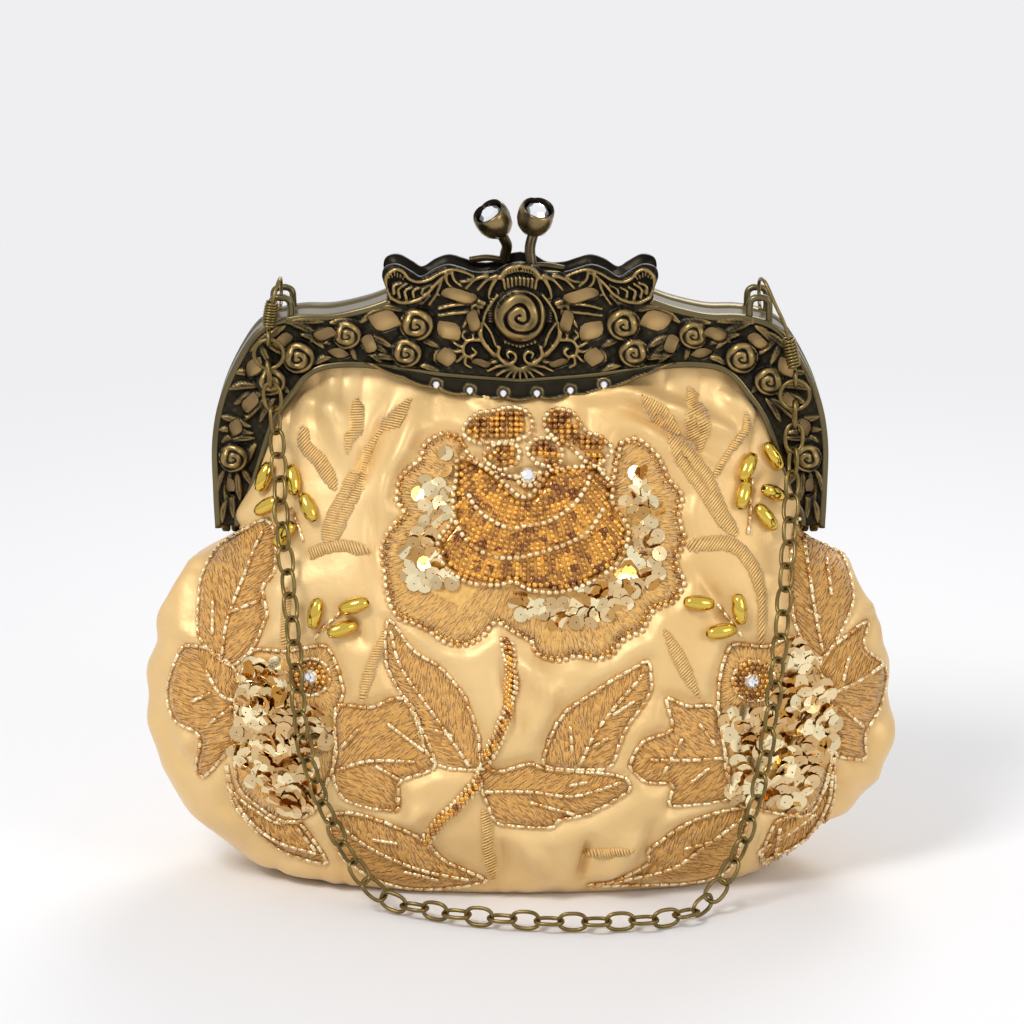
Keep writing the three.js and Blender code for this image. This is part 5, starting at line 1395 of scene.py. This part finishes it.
# The traced enlargement is turned into mm once
CREST_LINES = [(spline(from_enlargement(line), 6), a, b, rise) for line, a, b, rise in CREST_STROKES]


def stroke(height, x, z, line, start, end, rise, groove=0.0):
    """Raises a ridge along a line into the height map, wherever it is the highest."""
    low, high = line.min(0) - 1.6, line.max(0) + 1.6
    near = (x > low[0]) & (x < high[0]) & (z > low[1]) & (z < high[1])
    px, pz = x[near], z[near]
    best, share = np.full(len(px), 1e9), np.zeros(len(px))
    count = len(line) - 1
    for k in range(count):
        a, b = line[k], line[k + 1]
        t = ((px - a[0]) * (b[0] - a[0]) + (pz - a[1]) * (b[1] - a[1])) / max(((b - a) ** 2).sum(), 1e-9)
        t = np.clip(t, 0, 1)
        away = np.hypot(px - a[0] - t * (b[0] - a[0]), pz - a[1] - t * (b[1] - a[1]))
        closer = away < best
        best, share = np.where(closer, away, best), np.where(closer, (k + t) / count, share)
    if groove:
        half = np.maximum(start * np.sin(math.pi * np.clip(share * 0.9 + 0.06, 0, 1)) ** 0.7, 0.1)
    else:
        half = start + (end - start) * share
    form = np.sqrt(np.clip(1 - (best / half) ** 2, 0, 1))
    form = form * rise * (1 - 0.25 * share)
    form -= groove * np.exp(-((best / 0.22) ** 2)) * (best < half)
    veins = 0.5 + 0.5 * np.sin((share * 9 - best / half * 1.4) * 2 * math.pi)
    form -= 0.45 * groove * veins * (best < half) * (best > 0.25)
    height[near] = np.maximum(height[near], form)


def rose_relief(height, x, z, middle, radius, rise, turns, wide=1.0):
    """A rosebud: a dome whose petals wind in as a spiral groove."""
    dx, dz = (x - middle[0]) / wide, z - middle[1]
    r, angle = np.hypot(dx, dz) / radius, np.arctan2(dz, dx)
    near = r < 1.25
    dome = rise * np.sqrt(np.clip(1 - (r * 0.93) ** 2, 0, 1)) ** 0.8
    phase = (r ** 0.8) * turns - angle / (2 * math.pi) + 0.07 * np.sin(3 * angle + 0.5)
    cut = np.abs(phase - np.round(phase))
    dome -= 0.32 * rise * np.exp(-((cut / 0.13) ** 2)) * (r < 0.96)
    dome -= 0.1 * rise * np.cos(3 * angle + 4 * r) * (r > 0.45) * (r < 0.95)
    skirt = 0.42 * rise * np.sqrt(np.clip(1 - (r / (1.14 + 0.08 * np.cos(5 * angle))) ** 2, 0, 1))
    height[near] = np.maximum(height[near], np.maximum(dome, skirt)[near])


def relief(x, z):
    """Height of the ornament over the casting's face, X and Z in mm; both halves mirror."""
    height = 0.12 * np.sin(x * 2.1) * np.sin(z * 1.9)
    x = np.abs(x)
    for base, tip, half in BLADES:
        line = spline([base, ((base[0] + tip[0]) / 2 + 0.3, (base[1] + tip[1]) / 2 + 0.5), tip], 5)
        stroke(height, x, z, line, start=half, end=0, rise=1.25, groove=0.5)
    for line, start, end, rise in CREST_LINES:
        mirrored_line = line * np.array([-1, 1])
        stroke(height, x, z, mirrored_line, 1.25 * start, 1.25 * end, rise)
    for rx, rz, radius in ROSES:
        rose_relief(height, x, z, (rx, rz), radius, rise=0.62 * radius, turns=2.1)
    return height


def ornament(x, z):
    """The relief with the large boss in the middle, which isn't mirrored: its petals wind one way."""
    ring = np.hypot(x / 8.4, (z - BOSS_HEIGHT) / 8.9)
    height = np.where(ring < 1.0, 0.5, relief(x, z))
    rose_relief(height, x, z, (0, BOSS_HEIGHT), radius=7.6, rise=3.4, turns=2.4, wide=0.98)
    return height


def both_halves(half):
    """A line mirrored and joined in the middle."""
    return np.array([(-x, z) for x, z in reversed(half) if x > 0] + list(half))


def lens(x, z, half_length, half_width, degrees):
    """A pointed oval, the shape of each piercing."""
    t = np.linspace(0, 2 * math.pi, 16, endpoint=False)
    u, v = half_length * np.cos(t), half_width * np.sin(t) * (0.75 + 0.25 * np.abs(np.sin(t)))
    v = v + 0.18 * half_width * np.sin(3 * t + x)
    c, s = math.cos(math.radians(degrees)), math.sin(math.radians(degrees))
    return np.stack([x + u * c - v * s, z + u * s + v * c], 1)


def relief_plate(name, rim, holes, pitch, shape, face, back):
    """A pierced plate whose front carries the relief: front, edges and flat back in one closed mesh."""
    low, high = rim.min(0) - 1, rim.max(0) + 1
    fine = 0.25  # mm between the heights that are worked out
    gx, gz = np.arange(low[0], high[0], fine), np.arange(low[1], high[1], fine)
    wide, tall = np.meshgrid(gx, gz)
    table = shape(wide.ravel(), tall.ravel()).reshape(wide.shape)
    soft = table.copy()
    for _ in range(3):
        for axis in (0, 1):
            soft = sum(np.roll(soft, k, axis) for k in range(-3, 4)) / 7
    rub = np.clip(0.42 + 0.85 * (table - soft) + 0.06 * table, 0, 1)

    def read(grid, p):
        u, v = (p[:, 0] - gx[0]) / fine, (p[:, 1] - gz[0]) / fine
        i, j = np.clip(u.astype(int), 0, len(gx) - 2), np.clip(v.astype(int), 0, len(gz) - 2)
        s, t = u - i, v - j
        return ((grid[j, i] * (1 - s) + grid[j, i + 1] * s) * (1 - t)
                + (grid[j + 1, i] * (1 - s) + grid[j + 1, i + 1] * s) * t)

    net = net_inside(rim, pitch, pitch, 0.45 * pitch, margin=1)
    for hole in holes:
        close = np.hypot(*(net - hole.mean(0)).T) < 8
        keep = np.ones(len(net), bool)
        keep[close] = ~inside(hole, net[close]) & (distance_to(hole, net[close]) > 0.45 * pitch)
        net = net[keep]
    loops, spots, edges = [rim] + list(holes), [], []
    for loop in loops:
        first = sum(len(s) for s in spots)
        edges += [(first + i, first + (i + 1) % len(loop)) for i in range(len(loop))]
        spots.append(loop)
    border = np.vstack(spots)

    def skinned(points):
        flat = delaunay_2d_cdt([Vector(p) for p in points], edges, [], 1, 1e-5)
        drawn = np.array([tuple(v) for v in flat[0]])
        faces = np.array([tuple(f) for f in flat[2]])
        middles = drawn[faces].mean(1)
        keep = np.ones(len(faces), bool)
        for hole in holes:
            keep &= ~inside(hole, middles)
        return drawn, faces[keep]

    drawn, front = skinned(np.vstack([border, net]))
    flat_points, flat_faces = skinned(border)
    raised = read(table, drawn)
    rounded = np.minimum(1, np.min([distance_to(loop, drawn) for loop in loops], 0) / 0.5)
    top = face - (raised * rounded - 0.25 * (1 - rounded))
    points = [np.stack([drawn[:, 0], top, drawn[:, 1]], 1)]
    points.append(np.stack([flat_points[:, 0], np.full(len(flat_points), back), flat_points[:, 1]], 1))
    count = len(drawn)
    lookup = {tuple(np.round(p, 4)): i for i, p in enumerate(drawn)}
    under = {tuple(np.round(p, 4)): count + i for i, p in enumerate(flat_points)}
    faces = [tuple(f) for f in front] + [tuple(count + i for i in f[::-1]) for f in flat_faces]
    for a, b in edges:
        keys = [tuple(np.round(border[i], 4)) for i in (a, b)]
        if all(k in lookup and k in under for k in keys):
            faces.append((lookup[keys[0]], under[keys[0]], under[keys[1]], lookup[keys[1]]))
    made = mesh_piece(name, np.vstack(points) * MM, faces, cast_brass)
    worn = np.concatenate([read(rub, drawn), np.full(len(flat_points), 0.25)])
    set_rubbed(made, worn)
    return made


def swept(name, line, section, material):
    """A section of (across, depth) pairs swept along a line in X and Z, all in mm."""
    p = np.array(line, float)
    way = unit(np.gradient(p, axis=0))
    across = np.stack([-way[:, 1], way[:, 0]], 1)
    points = []
    for place, side in zip(p, across):
        points += [(place[0] + side[0] * u, y, place[1] + side[1] * u) for u, y in section]
    count = len(section)
    faces = grid_faces(len(p), count, closed=True)
    faces += [tuple(range(count)), tuple(reversed(range(len(points) - count, len(points))))]
    made = mesh_piece(name, np.array(points) * MM, faces, material)
    fix_faces(made)
    return made


def fix_faces(piece):
    """Turns every face outwards."""
    bpy.context.view_layer.objects.active = piece
    with bpy.context.temp_override(object=piece, active_object=piece, selected_objects=[piece]):
        bpy.ops.object.mode_set(mode="EDIT")
        bpy.ops.mesh.select_all(action="SELECT")
        bpy.ops.mesh.normals_make_consistent(inside=False)
        bpy.ops.object.mode_set(mode="OBJECT")


def rounded(half, front, back):
    """Section of a half-round band."""
    arc = [(half * math.cos(a), front + 0.55 * half * (1 - math.sin(a))) for a in np.linspace(0, math.pi, 9)]
    return [(half, back)] + arc + [(-half, back)]


def wire(name, points, radius, material, sides=8, steps=8, closed=False):
    """A round wire through points in mm, with its cross-section carried along without twist."""
    p = spline(points, steps, closed)
    if closed:
        way = unit(np.roll(p, -1, 0) - np.roll(p, 1, 0))
    else:
        way = unit(np.gradient(p, axis=0))
    side = unit(np.cross(way[0], [0.31, 0.2, 0.93]))
    angles = 2 * math.pi * np.arange(sides) / sides
    rings = []
    for place, w in zip(p, way):
        side = unit(side - w * (side @ w))
        other = np.cross(w, side)
        rings.append(place + radius * (np.cos(angles)[:, None] * side + np.sin(angles)[:, None] * other))
    if closed:
        rings.append(rings[0])
    points = np.vstack(rings)
    faces = grid_faces(len(rings), sides, closed=True)
    if not closed:
        faces += [tuple(range(sides)), tuple(reversed(range(len(points) - sides, len(points))))]
    made = mesh_piece(name, points * MM, faces, material)
    fix_faces(made)
    return made


# %% [markdown]
# Each casting is the pierced plate, rounded bands along its edges, two lugs for the chain and an ear at
# each foot for the hinge pins. The front one also has the scalloped rail. The back one is the same
# casting turned round.

# %% Castings
crest_line = spline(CREST, 5)
shoulder_line = spline(SHOULDER, 6)
inner_line = spline(INNER, 6)
outer_half = np.vstack([crest_line, shoulder_line])
mirror = [-1, 1]
rim = np.vstack([outer_half, inner_line[::-1][:-1], inner_line[1:] * mirror,
                 (outer_half * mirror)[::-1][:-1]])
rim = rim[np.linalg.norm(rim - np.roll(rim, 1, 0), axis=1) > 0.05]
holes = [lens(*p) for p in PIERCINGS]
holes += [h * mirror for h in holes]
BAND_HALF = 0.95
outer_band = shoulder_line + [-0.8, -0.6]
inner_band = np.vstack([(inner_line * mirror)[::-1][:-1], inner_line])
crest_band = both_halves([(0, 183.4), (13, 182.8), (29, 181.4), (39, 177.6)])
RAIL_HALF, STONE_PITCH = 46, 9.9


def rail_height(x):
    return 150 + 0.0045 * x ** 2


def scallop_depth(x):
    return (1 - (abs(x) / RAIL_HALF) ** 3) * (1.6 + 0.9 * abs(math.cos(math.pi * x / STONE_PITCH)))


scallops = np.array([(x, rail_height(x) - scallop_depth(x)) for x in np.linspace(-RAIL_HALF, RAIL_HALF, 121)])
rail_top = np.array([(24, 154.9), (0, 153.2), (-24, 154.9)])
rail_rim = np.vstack([scallops, rail_top])
STONES = [(STONE_PITCH * (k - 2.5), rail_height(STONE_PITCH * (k - 2.5))) for k in range(6)]


def rail_ornament(x, z):
    height = np.zeros(len(x))
    stroke(height, x, z, scallops + [0, 0.45], start=0.62, end=0.62, rise=0.9)
    for sx, sz in STONES:
        r = np.hypot(x - sx, z - sz)
        height = np.maximum(height, 0.55 * np.exp(-(((r - 1.75) / 0.42) ** 2)))
        height = np.where(r < 1.4, -0.35, height)
    return height


LUG_PLACE, LUG_DEPTH, LUG_HEIGHT, HINGE_HEIGHT = 70.5, 7.3, 178.3, 109
# The right half of a lug's arch, and the section of an ear as radius and place along the pin
LUG = [(0, 0), (1.4, -0.1), (2.6, -1.1), (2.9, -3.4), (2.9, -9)]
EAR = [(1.3, 0), (3.5, 0), (3.9, 0.4), (3.9, 2.1), (3.5, 2.5), (1.3, 2.5)]
EAR_SIDES = 28


def frame_half(name, node, body, pitch, with_rail, ear_inside):
    """One casting, made as the front one."""
    parts = [relief_plate(name, rim, holes, pitch, ornament, PLATE_FACE, PLATE_BACK)]
    for sign in (-1, 1):
        band = rounded(BAND_HALF, front=-9.1, back=PARTING)
        parts.append(swept("outer_band", outer_band * [sign, 1], band, band_brass))
        arch = [(sign * LUG_PLACE + x, -LUG_DEPTH, LUG_HEIGHT + z) for x, z in both_halves(LUG)]
        parts.append(wire("lug", arch, radius=1.05, material=band_brass))
        turns = np.linspace(0, 2 * math.pi, EAR_SIDES, endpoint=False)
        disc = [(sign * (ear_inside + x), r * math.cos(t), HINGE_HEIGHT + r * math.sin(t))
                for r, x in EAR for t in turns]
        last = (len(EAR) - 1) * EAR_SIDES
        faces = grid_faces(len(EAR), EAR_SIDES, closed=True)
        faces += [(last + i, last + (i + 1) % EAR_SIDES, (i + 1) % EAR_SIDES, i) for i in range(EAR_SIDES)]
        parts.append(mesh_piece("ear", np.array(disc) * MM, faces, band_brass))
        fix_faces(parts[-1])
    band = rounded(BAND_HALF, front=-9.3, back=PARTING)
    parts.append(swept("inner_band", inner_band, band, band_brass))
    band = rounded(BAND_HALF, front=-6.6, back=PARTING)
    parts.append(swept("crest_band", spline(crest_band, 4), band, band_brass))
    if with_rail:
        parts.append(relief_plate("rail", rail_rim, [], pitch=0.4, shape=rail_ornament, face=RAIL_FACE,
                                  back=-6.7))
    made = merged(name, parts)
    if body == "back_half":
        turned = np.empty(len(made.data.vertices) * 3)
        made.data.vertices.foreach_get("co", turned)
        turned = turned.reshape(-1, 3) * [-1, -1, 1]
        made.data.vertices.foreach_set("co", turned.ravel())
        made.data.update()
    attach(made, body)
    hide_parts(node)
    print(name, len(made.data.polygons))


frame_half("front_casting", "front_frame", "bag", pitch=0.4, with_rail=True, ear_inside=84)
frame_half("back_casting", "back_frame", "back_half", pitch=0.55, with_rail=False, ear_inside=86.9)

# %% [markdown]
# ## Crystals of the rail, backing and pins
# Six small stones sit in the rail. The satin glued behind the openwork is a duller, browner beige.

# %% Small parts of the frame
rail_spots = np.array([(x, RAIL_FACE + 0.1, z) for x, z in STONES]) * MM
rail_crystals = scatter("rail_crystals", stone, rail_spots, [[0, -1, 0.15]], [[1, 0, 0]], [1.35 * MM] * 3,
                        rhinestone)
faceted(rail_crystals)
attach(rail_crystals, "bag")
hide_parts(*["rail_stone_%d" % k for k in range(1, 7)])

backing_satin, tree, shader = finish("glued_backing_satin", Base_Color=linear("CCA566"), Roughness=0.5,
                                     Sheen_Weight=0.2)
for node_name, material in (("front_backing", backing_satin), ("back_backing", backing_satin),
                            ("hinge_pin_left", band_brass), ("hinge_pin_right", band_brass)):
    node = bpy.data.objects[node_name]
    node.data.materials.clear()
    node.data.materials.append(material)

# %% [markdown]
# The kiss-lock is two rosebuds on bent stems, each a fluted cup with a crystal in it.

# %% Kiss-lock
# For each bud its body, the cup's middle and aim, the stem's line and the middle of the tab, in mm
BUDS = {
    "front": ("bag", (4.4, -2, 201), (0.25, -0.5, 0.83), [(4.2, -1.5, 197.5), (2.9, -3.2, 192.5),
              (3.2, -4.4, 188.5), (3.4, -4.7, 186)], (7.4, -4.7, 187)),
    "back": ("back_half", (-7.6, 2, 199.4), (-0.45, -0.45, 0.77), [(-6.4, 2.5, 196.6), (-4, 3.8, 192),
             (-4.4, 4.5, 189), (-4.6, 4.7, 187)], (-9.4, 4.7, 187.4)),
}
CUP = [
    (1.7, -5.6), (3.2, -4.7), (4.7, -2.8), (5.4, -0.6), (5.5, 1.4), (5.2, 3.1), (4.8, 3.9), (4.3, 4.0),
    (4.0, 3.4), (3.8, 2.2), (0.4, 1.9),
]
CUP_SIDES = 48
bud_brass = antiqued("antiqued_bud_brass", "1D1811", "4A3F2A", "A89062", roughness=0.28)
for side_name, (body, centre, aim, stem_line, tab) in BUDS.items():
    axis = unit(np.array(aim))
    u = unit(np.cross(axis, [0, 1, 0.2]))
    v = np.cross(axis, u)
    points, worn = [], []
    for k, (radius, height) in enumerate(CUP):
        for a in 2 * math.pi * np.arange(CUP_SIDES) / CUP_SIDES:
            petal = abs(math.cos(1.5 * a + 0.35 * height / 5)) ** 0.35
            r = radius * ((0.87 + 0.13 * petal) if k < 7 else 1)
            lip = 0.45 * petal if 3 < k < 8 else 0
            points.append(np.array(centre) + r * (math.cos(a) * u + math.sin(a) * v) + (height + lip) * axis)
            worn.append((0.25 + 0.45 * petal) if k < 7 else 0.05)
    faces = grid_faces(len(CUP), CUP_SIDES, closed=True)
    faces += [tuple(range(CUP_SIDES)), tuple(reversed(range(len(points) - CUP_SIDES, len(points))))]
    cup = mesh_piece("cup", np.array(points) * MM, faces, bud_brass)
    fix_faces(cup)
    set_rubbed(cup, worn)
    stem = wire("bud_stem", stem_line, radius=1.6, material=bud_brass, sides=12)
    leaf = wire("bud_leaf", [(tab[0] - 5.6, tab[1], tab[2] - 0.3), (tab[0], tab[1], tab[2] + 0.4),
                             (tab[0] + 5.6, tab[1], tab[2] - 0.6)],
                radius=1.0, material=bud_brass, sides=12)
    for part in (stem, leaf):
        set_rubbed(part, [0.5] * len(part.data.vertices))
    bud = merged(side_name + "_bud", [cup, stem, leaf])
    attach(bud, body)
    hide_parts(side_name + "_clasp_bud")
    seat_place = (np.array(centre) + axis * 3.0) * MM
    gem_size = [3.5 * MM, 3.5 * MM, 2.2 * MM]
    gem = scatter(side_name + "_bud_crystal", stone, [seat_place], [axis], [u], gem_size, rhinestone)
    faceted(gem)
    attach(gem, body)
    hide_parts(side_name + "_clasp_stone")

# %% [markdown]
# ## Chain
# The cable chain hangs from two rings and rests on the table in front. Its oval links lean to either
# side where they hang, and stand and lie in turn where they rest.

# %% Clips and rings
RING_RADIUS, RING_WIRE = 4.3, 0.6
EYE_RADIUS, CLIP_WIRE = 2.3, 0.55
COIL_TURNS, COIL_WIRE = 9, 0.42
# For each clip its side, the ring's middle, the hook's line and the spring's ends, in mm from the lug
CLIPS = {
    "left": (-1, (-3.3, -7.3, -15.4), [(-2.8, -7.1, -4.3), (-2.2, -6.8, -0.9), (-1.4, -6, 2.5),
             (-0.5, -3.5, 5.2), (0, -0.1, 5.8), (0, 2.9, 4.2), (0, 3.8, 0.9), (0, 2.6, -1.4),
             (0, -0.1, -2.1), (0, -2.9, -2.6)], ((-3.2, -7.3, -7.1), (-2.1, -6.7, 0.1))),
    "right": (1, (10.4, -7.3, -27.7), [(9.5, -7.2, -16.3), (8.3, -7, -10.7), (6.7, -6.7, -5.9),
              (4.1, -5.9, -0.5), (1.7, -3.5, 4.7), (0.5, -0.5, 5.7), (0, 2.9, 4.2), (0, 3.8, 0.9),
              (0, 2.6, -1.4), (0, -0.1, -2.1), (0, -2.9, -2.6)], ((10.05, -7.3, -19.1), (8.3, -7, -10.7))),
}


def from_lug(sign, offset):
    return np.array([sign * LUG_PLACE + offset[0], offset[1] - LUG_DEPTH, LUG_HEIGHT + offset[2]])


def ring_points(middle, across, up, radius, count=16):
    a = 2 * math.pi * np.arange(count) / count
    return middle + radius * (np.cos(a)[:, None] * np.array(across) + np.sin(a)[:, None] * np.array(up))


ring_middles = []
for side_name, (sign, ring, hook, spring) in CLIPS.items():
    middle = from_lug(sign, ring)
    ring_middles.append(middle)
    ring_line = ring_points(middle, (1, 0, 0), (0, 0, 1), RING_RADIUS)
    jump_ring = wire(side_name + "_jump_ring", ring_line, RING_WIRE, chain_brass, sides=10, steps=4,
                     closed=True)
    eye_middle = middle + [0, 0, RING_RADIUS + RING_WIRE]
    eye_line = ring_points(eye_middle, (0, 1, 0), (0, 0, 1), EYE_RADIUS)
    eye_wire = wire("clip_eye", eye_line, CLIP_WIRE, chain_brass, steps=3, closed=True)
    line = [eye_middle + [0, 0, EYE_RADIUS]] + [from_lug(sign, p) for p in hook]
    hook_wire = wire("clip_wire", line, CLIP_WIRE, chain_brass, sides=10)
    hook_piece = merged(side_name + "_hook", [hook_wire, eye_wire])
    low_end, high_end = from_lug(sign, spring[0]), from_lug(sign, spring[1])
    axis = unit(high_end - low_end)
    u = unit(np.cross(axis, [0, 1, 0]))
    v = np.cross(axis, u)
    share = np.linspace(0, 1, COIL_TURNS * 10 + 1)
    turn = 2 * math.pi * COIL_TURNS * share
    swell = 1.45 + 0.4 * np.sin(math.pi * share) ** 0.5
    coil = low_end + (high_end - low_end) * share[:, None]
    coil = coil + swell[:, None] * (np.cos(turn)[:, None] * u + np.sin(turn)[:, None] * v)
    spring_piece = wire(side_name + "_spring", coil, COIL_WIRE, chain_brass, sides=6, steps=2)
    for piece, node_name in ((jump_ring, side_name + "_ring"), (hook_piece, side_name + "_clip_hook"),
                             (spring_piece, side_name + "_clip_spring")):
        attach(piece, "strap")
        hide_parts(node_name)

# %% [markdown]
# The route is the line of the chain in the photograph, from ring to ring, as X, Y and Z in mm. One view
# can't show its depth, so the depth is a guess: close in front of the pouch, then on the table.

# %% Links
LINK_LONG, LINK_WIDE, LINK_WIRE, LINK_PITCH = 9.2, 6.4, 1.2, 6.9
LYING = LINK_WIDE / 2 + 0.4
ROUTE = [
    (-73.2, -14.8, 152), (-72, -16, 142), (-71, -19.8, 128), (-70, -27, 114), (-68.4, -31.4, 101),
    (-67, -36.4, 88), (-65.8, -40.4, 74), (-64.6, -43.2, 60), (-62, -44.6, 46), (-57.6, -45, 33),
    (-51.8, -44.4, 20), (-45.4, -44.4, 9.5), (-38.4, -46.6, 4.4), (-31, -50, LYING), (-21, -55, LYING),
    (-8, -59, LYING), (6, -61.6, LYING), (20, -62.4, LYING), (34, -61.4, LYING), (45, -58, LYING),
    (53, -51.6, 4.2), (58.6, -45.6, 8), (63.6, -43, 16), (67.8, -43, 28), (71, -43.4, 42),
    (73.2, -42.4, 56), (75, -40, 70), (76.6, -36.4, 84), (78, -31.6, 98), (79.2, -25.6, 110),
    (80.2, -19, 124), (80.8, -15.4, 138),
]
a = 2 * math.pi * np.arange(20) / 20
c, s = np.cos(a), np.sin(a)
half_long, half_wide = (LINK_LONG - LINK_WIRE) / 2, (LINK_WIDE - LINK_WIRE) / 2
link_line = np.stack([np.sign(s) * np.abs(s) ** 0.8 * half_wide, np.zeros(len(a)),
                      np.sign(c) * np.abs(c) ** 0.8 * half_long], 1)
link = wire("link_shape", link_line, LINK_WIRE / 2, chain_brass, sides=8, steps=2, closed=True)
link.hide_render = True
TEMPLATES.append(link)
hang = np.array([0, 0, -RING_RADIUS - 1.6])
route = spline([ring_middles[0] + hang] + ROUTE + [ring_middles[1] + hang], 24)
along = np.concatenate([[0], np.cumsum(np.linalg.norm(np.diff(route, axis=0), axis=1))])
count = 2 * round(along[-1] / LINK_PITCH / 2) + 1
at = np.linspace(0, along[-1], count)
centres = read_at(route, along, at)
ways = unit(read_at(route, along, at + 1) - read_at(route, along, at - 1))
lying = 1 - ease((centres[:, 2] - 5) / 7)
near_end = np.minimum(at, along[-1] - at)
lean = math.pi / 4 * (1 - lying) * ease(near_end / 28)
out = unit(np.stack([np.zeros(count), -1 + lying, lying], 1))
flat = unit(np.cross(ways, out))
outward = unit(np.cross(flat, ways))
turn = lean + (np.arange(count) % 2) * math.pi / 2 + rng.normal(0, 0.05, count)
across = outward * np.cos(turn)[:, None] + flat * np.sin(turn)[:, None]
links = scatter("chain_links", link, centres * MM, ways, across, [1, 1, 1], chain_brass)
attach(links, "strap")
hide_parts(*["chain_run_%d" % k for k in range(1, 10)])
print("links", count)

# %% [markdown]
# The shapes that were only copied go.

# %% The end
for shape in TEMPLATES:
    bpy.data.objects.remove(shape)
